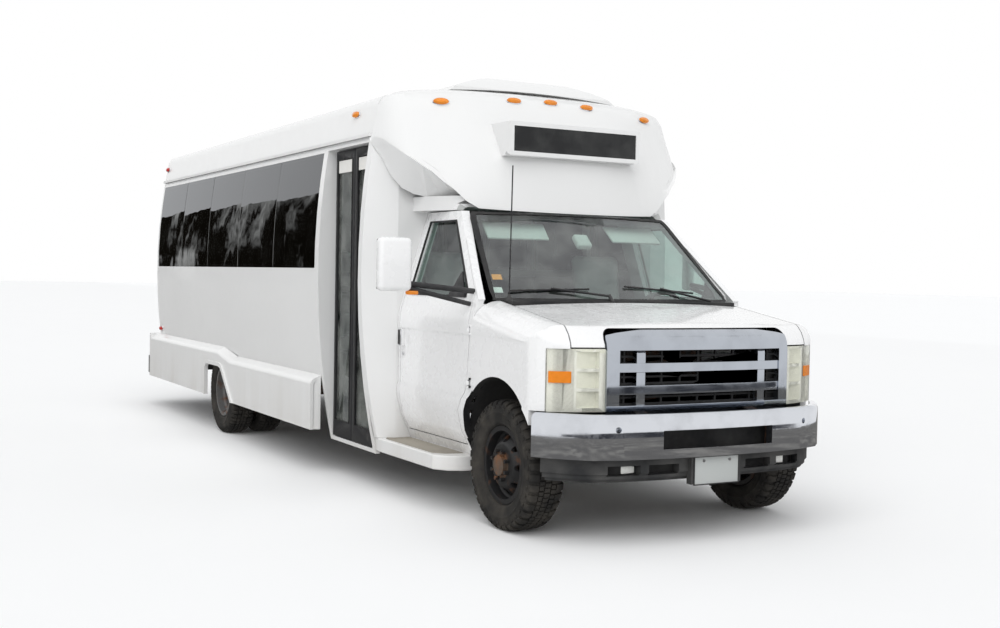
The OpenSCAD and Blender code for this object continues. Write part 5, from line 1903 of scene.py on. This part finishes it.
@dataclass
class Stage:
    """The floor, the light and the camera of the photograph."""

    eye: Point = (6.0514, -4.3033, 1.4396)
    yaw: float = 2.63747
    pitch: float = -0.031161
    roll: float = 0.018923
    lens: float = 44.298
    sensor: float = 36.0
    far: float = 400.0
    sun: float = 1.75
    sun_toward: Point = (-0.50, 0.42, -0.76)
    sun_spread: float = 70.0
    fill: float = 0.62
    dome: Colour = (0.97, 0.985, 1.0)
    floor_wide: float = 240.0
    side_card: Sequence[Point] = ((-160, -16, -0.2), (2, -16, -0.2), (2, -16, 7.5), (-160, -16, 7.5))
    front_card: Sequence[Point] = ((17, -34, -0.2), (17, 26, -0.2), (17, 26, 2.2), (17, -34, 2.2))
    road_card: Sequence[Point] = ((-160, -15.9, 0.004), (16.9, -15.9, 0.004), (16.9, 20, 0.004),
                                  (-160, 20, 0.004))

    def camera(self) -> None:
        """Sets the camera at the photograph's viewpoint."""
        cp = math.cos(self.pitch)
        ahead = Vector((math.cos(self.yaw) * cp, math.sin(self.yaw) * cp, math.sin(self.pitch)))
        level = Vector((math.sin(self.yaw), -math.cos(self.yaw), 0.0))
        above = level.cross(ahead)
        right = math.cos(self.roll) * level + math.sin(self.roll) * above
        up = -math.sin(self.roll) * level + math.cos(self.roll) * above
        turn = Matrix((right, up, -ahead)).transposed().to_4x4()
        data = bpy.data.cameras.new("camera")
        data.lens = self.lens
        data.sensor_width = self.sensor
        data.sensor_fit = "HORIZONTAL"
        data.clip_end = self.far
        obj = bpy.data.objects.new("camera", data)
        bpy.context.collection.objects.link(obj)
        obj.matrix_world = Matrix.Translation(at(*self.eye)) @ turn
        bpy.context.scene.camera = obj

    def world(self) -> None:
        """A white backdrop for the eye, metal and glass, and an even dome for light."""
        world = bpy.data.worlds.new("studio")
        world.use_nodes = True
        tree = world.node_tree
        tree.nodes.clear()
        path = tree.nodes.new("ShaderNodeLightPath")
        seen = tree.nodes.new("ShaderNodeBackground")
        seen.inputs["Color"].default_value = (1.0, 1.0, 1.0, 1.0)
        seen.inputs["Strength"].default_value = 1.0
        dome = tree.nodes.new("ShaderNodeBackground")
        dome.inputs["Color"].default_value = (*self.dome, 1.0)
        dome.inputs["Strength"].default_value = self.fill
        chosen = path.outputs["Is Camera Ray"]
        for ray in ("Is Glossy Ray", "Is Transmission Ray"):
            either = tree.nodes.new("ShaderNodeMath")
            either.operation = "MAXIMUM"
            tree.links.new(chosen, either.inputs[0])
            tree.links.new(path.outputs[ray], either.inputs[1])
            chosen = either.outputs[0]
        mix = tree.nodes.new("ShaderNodeMixShader")
        tree.links.new(chosen, mix.inputs[0])
        tree.links.new(dome.outputs[0], mix.inputs[1])
        tree.links.new(seen.outputs[0], mix.inputs[2])
        out = tree.nodes.new("ShaderNodeOutputWorld")
        tree.links.new(mix.outputs[0], out.inputs["Surface"])
        bpy.context.scene.world = world

    def floor(self) -> None:
        """A wide pale floor."""
        bpy.ops.object.select_all(action="DESELECT")
        bpy.ops.mesh.primitive_plane_add(size=self.floor_wide, location=(0, 0, 0))
        obj = start("stage_floor")
        shader = Shader("stage_floor")
        tone = shader.blend(shader.noise(0.4, 3.0), (0.955, 0.955, 0.955), (0.94, 0.94, 0.94))
        shader.put(Base_Color=tone, Roughness=0.9, Specular_IOR_Level=0.1)
        obj.data.materials.append(shader.mat)

    def card(self, name: str, corners: Sequence[Point], dark: Colour, pale: Colour, scale: float) -> None:
        """A card that only mirrors see, so that chrome and glass have something dark to show.

        Args:
            name: The card's name.
            corners: Its four corners, measured from the axle.
            dark: Its darker colour.
            pale: Its paler colour.
            scale: Patches per metre.
        """
        bpy.ops.object.select_all(action="DESELECT")
        bpy.ops.mesh.primitive_plane_add(size=1.0)
        obj = start(name)
        order = (0, 1, 3, 2)
        for index, corner in zip(order, corners):
            obj.data.vertices[index].co = at(*corner)
        shader = Shader(name)
        patch = shader.span(shader.noise(scale, 7.0, (1.0, 1.0, 0.6), 0.65), 0.47, 0.60)
        tone = shader.blend(patch, dark, pale)
        shader.put(Base_Color=(0, 0, 0, 1), Roughness=1.0, Specular_IOR_Level=0.0, Emission_Color=tone,
                   Emission_Strength=1.0)
        obj.data.materials.append(shader.mat)
        obj.visible_camera = False
        obj.visible_diffuse = False
        obj.visible_shadow = False
        obj.visible_transmission = False

    def lamp(self, name: str, toward: Point, spread: float, power: float) -> None:
        """A wide soft light from far off.

        Args:
            name: The light's name.
            toward: The direction that it shines in.
            spread: The angle that it fills in the sky, in degrees.
            power: Its strength.
        """
        data = bpy.data.lights.new(name, "SUN")
        data.angle = math.radians(spread)
        data.energy = power
        obj = bpy.data.objects.new(name, data)
        bpy.context.collection.objects.link(obj)
        obj.matrix_world = Vector(toward).to_track_quat("-Z", "Y").to_matrix().to_4x4()
        obj.visible_glossy = False

    def build(self) -> None:
        """Sets up the whole stage."""
        self.camera()
        self.world()
        self.floor()
        self.lamp("key", self.sun_toward, self.sun_spread, self.sun)
        self.card("card_side", self.side_card, (0.012, 0.010, 0.007), (0.85, 0.85, 0.82), 0.22)
        self.card("card_front", self.front_card, (0.05, 0.052, 0.06), (0.22, 0.22, 0.23), 0.4)
        self.card("card_road", self.road_card, (0.17, 0.165, 0.16), (0.30, 0.29, 0.27), 2.0)
        bpy.context.scene.view_settings.view_transform = "Standard"
        LOG.info("stage is set")


def main() -> None:
    """Builds the bus's looks, piece by piece."""
    logging.basicConfig(level=logging.INFO, format="%(name)s: %(message)s")
    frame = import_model()
    Stage().build()
    FrameDress(frame["nodes"]).dress()
    Tyres().build()
    Lamps(frame["nodes"]).build()
    Front(frame["nodes"]).build()
    Sides().build()
    Seats().build()


if __name__ == "__main__":
    main()
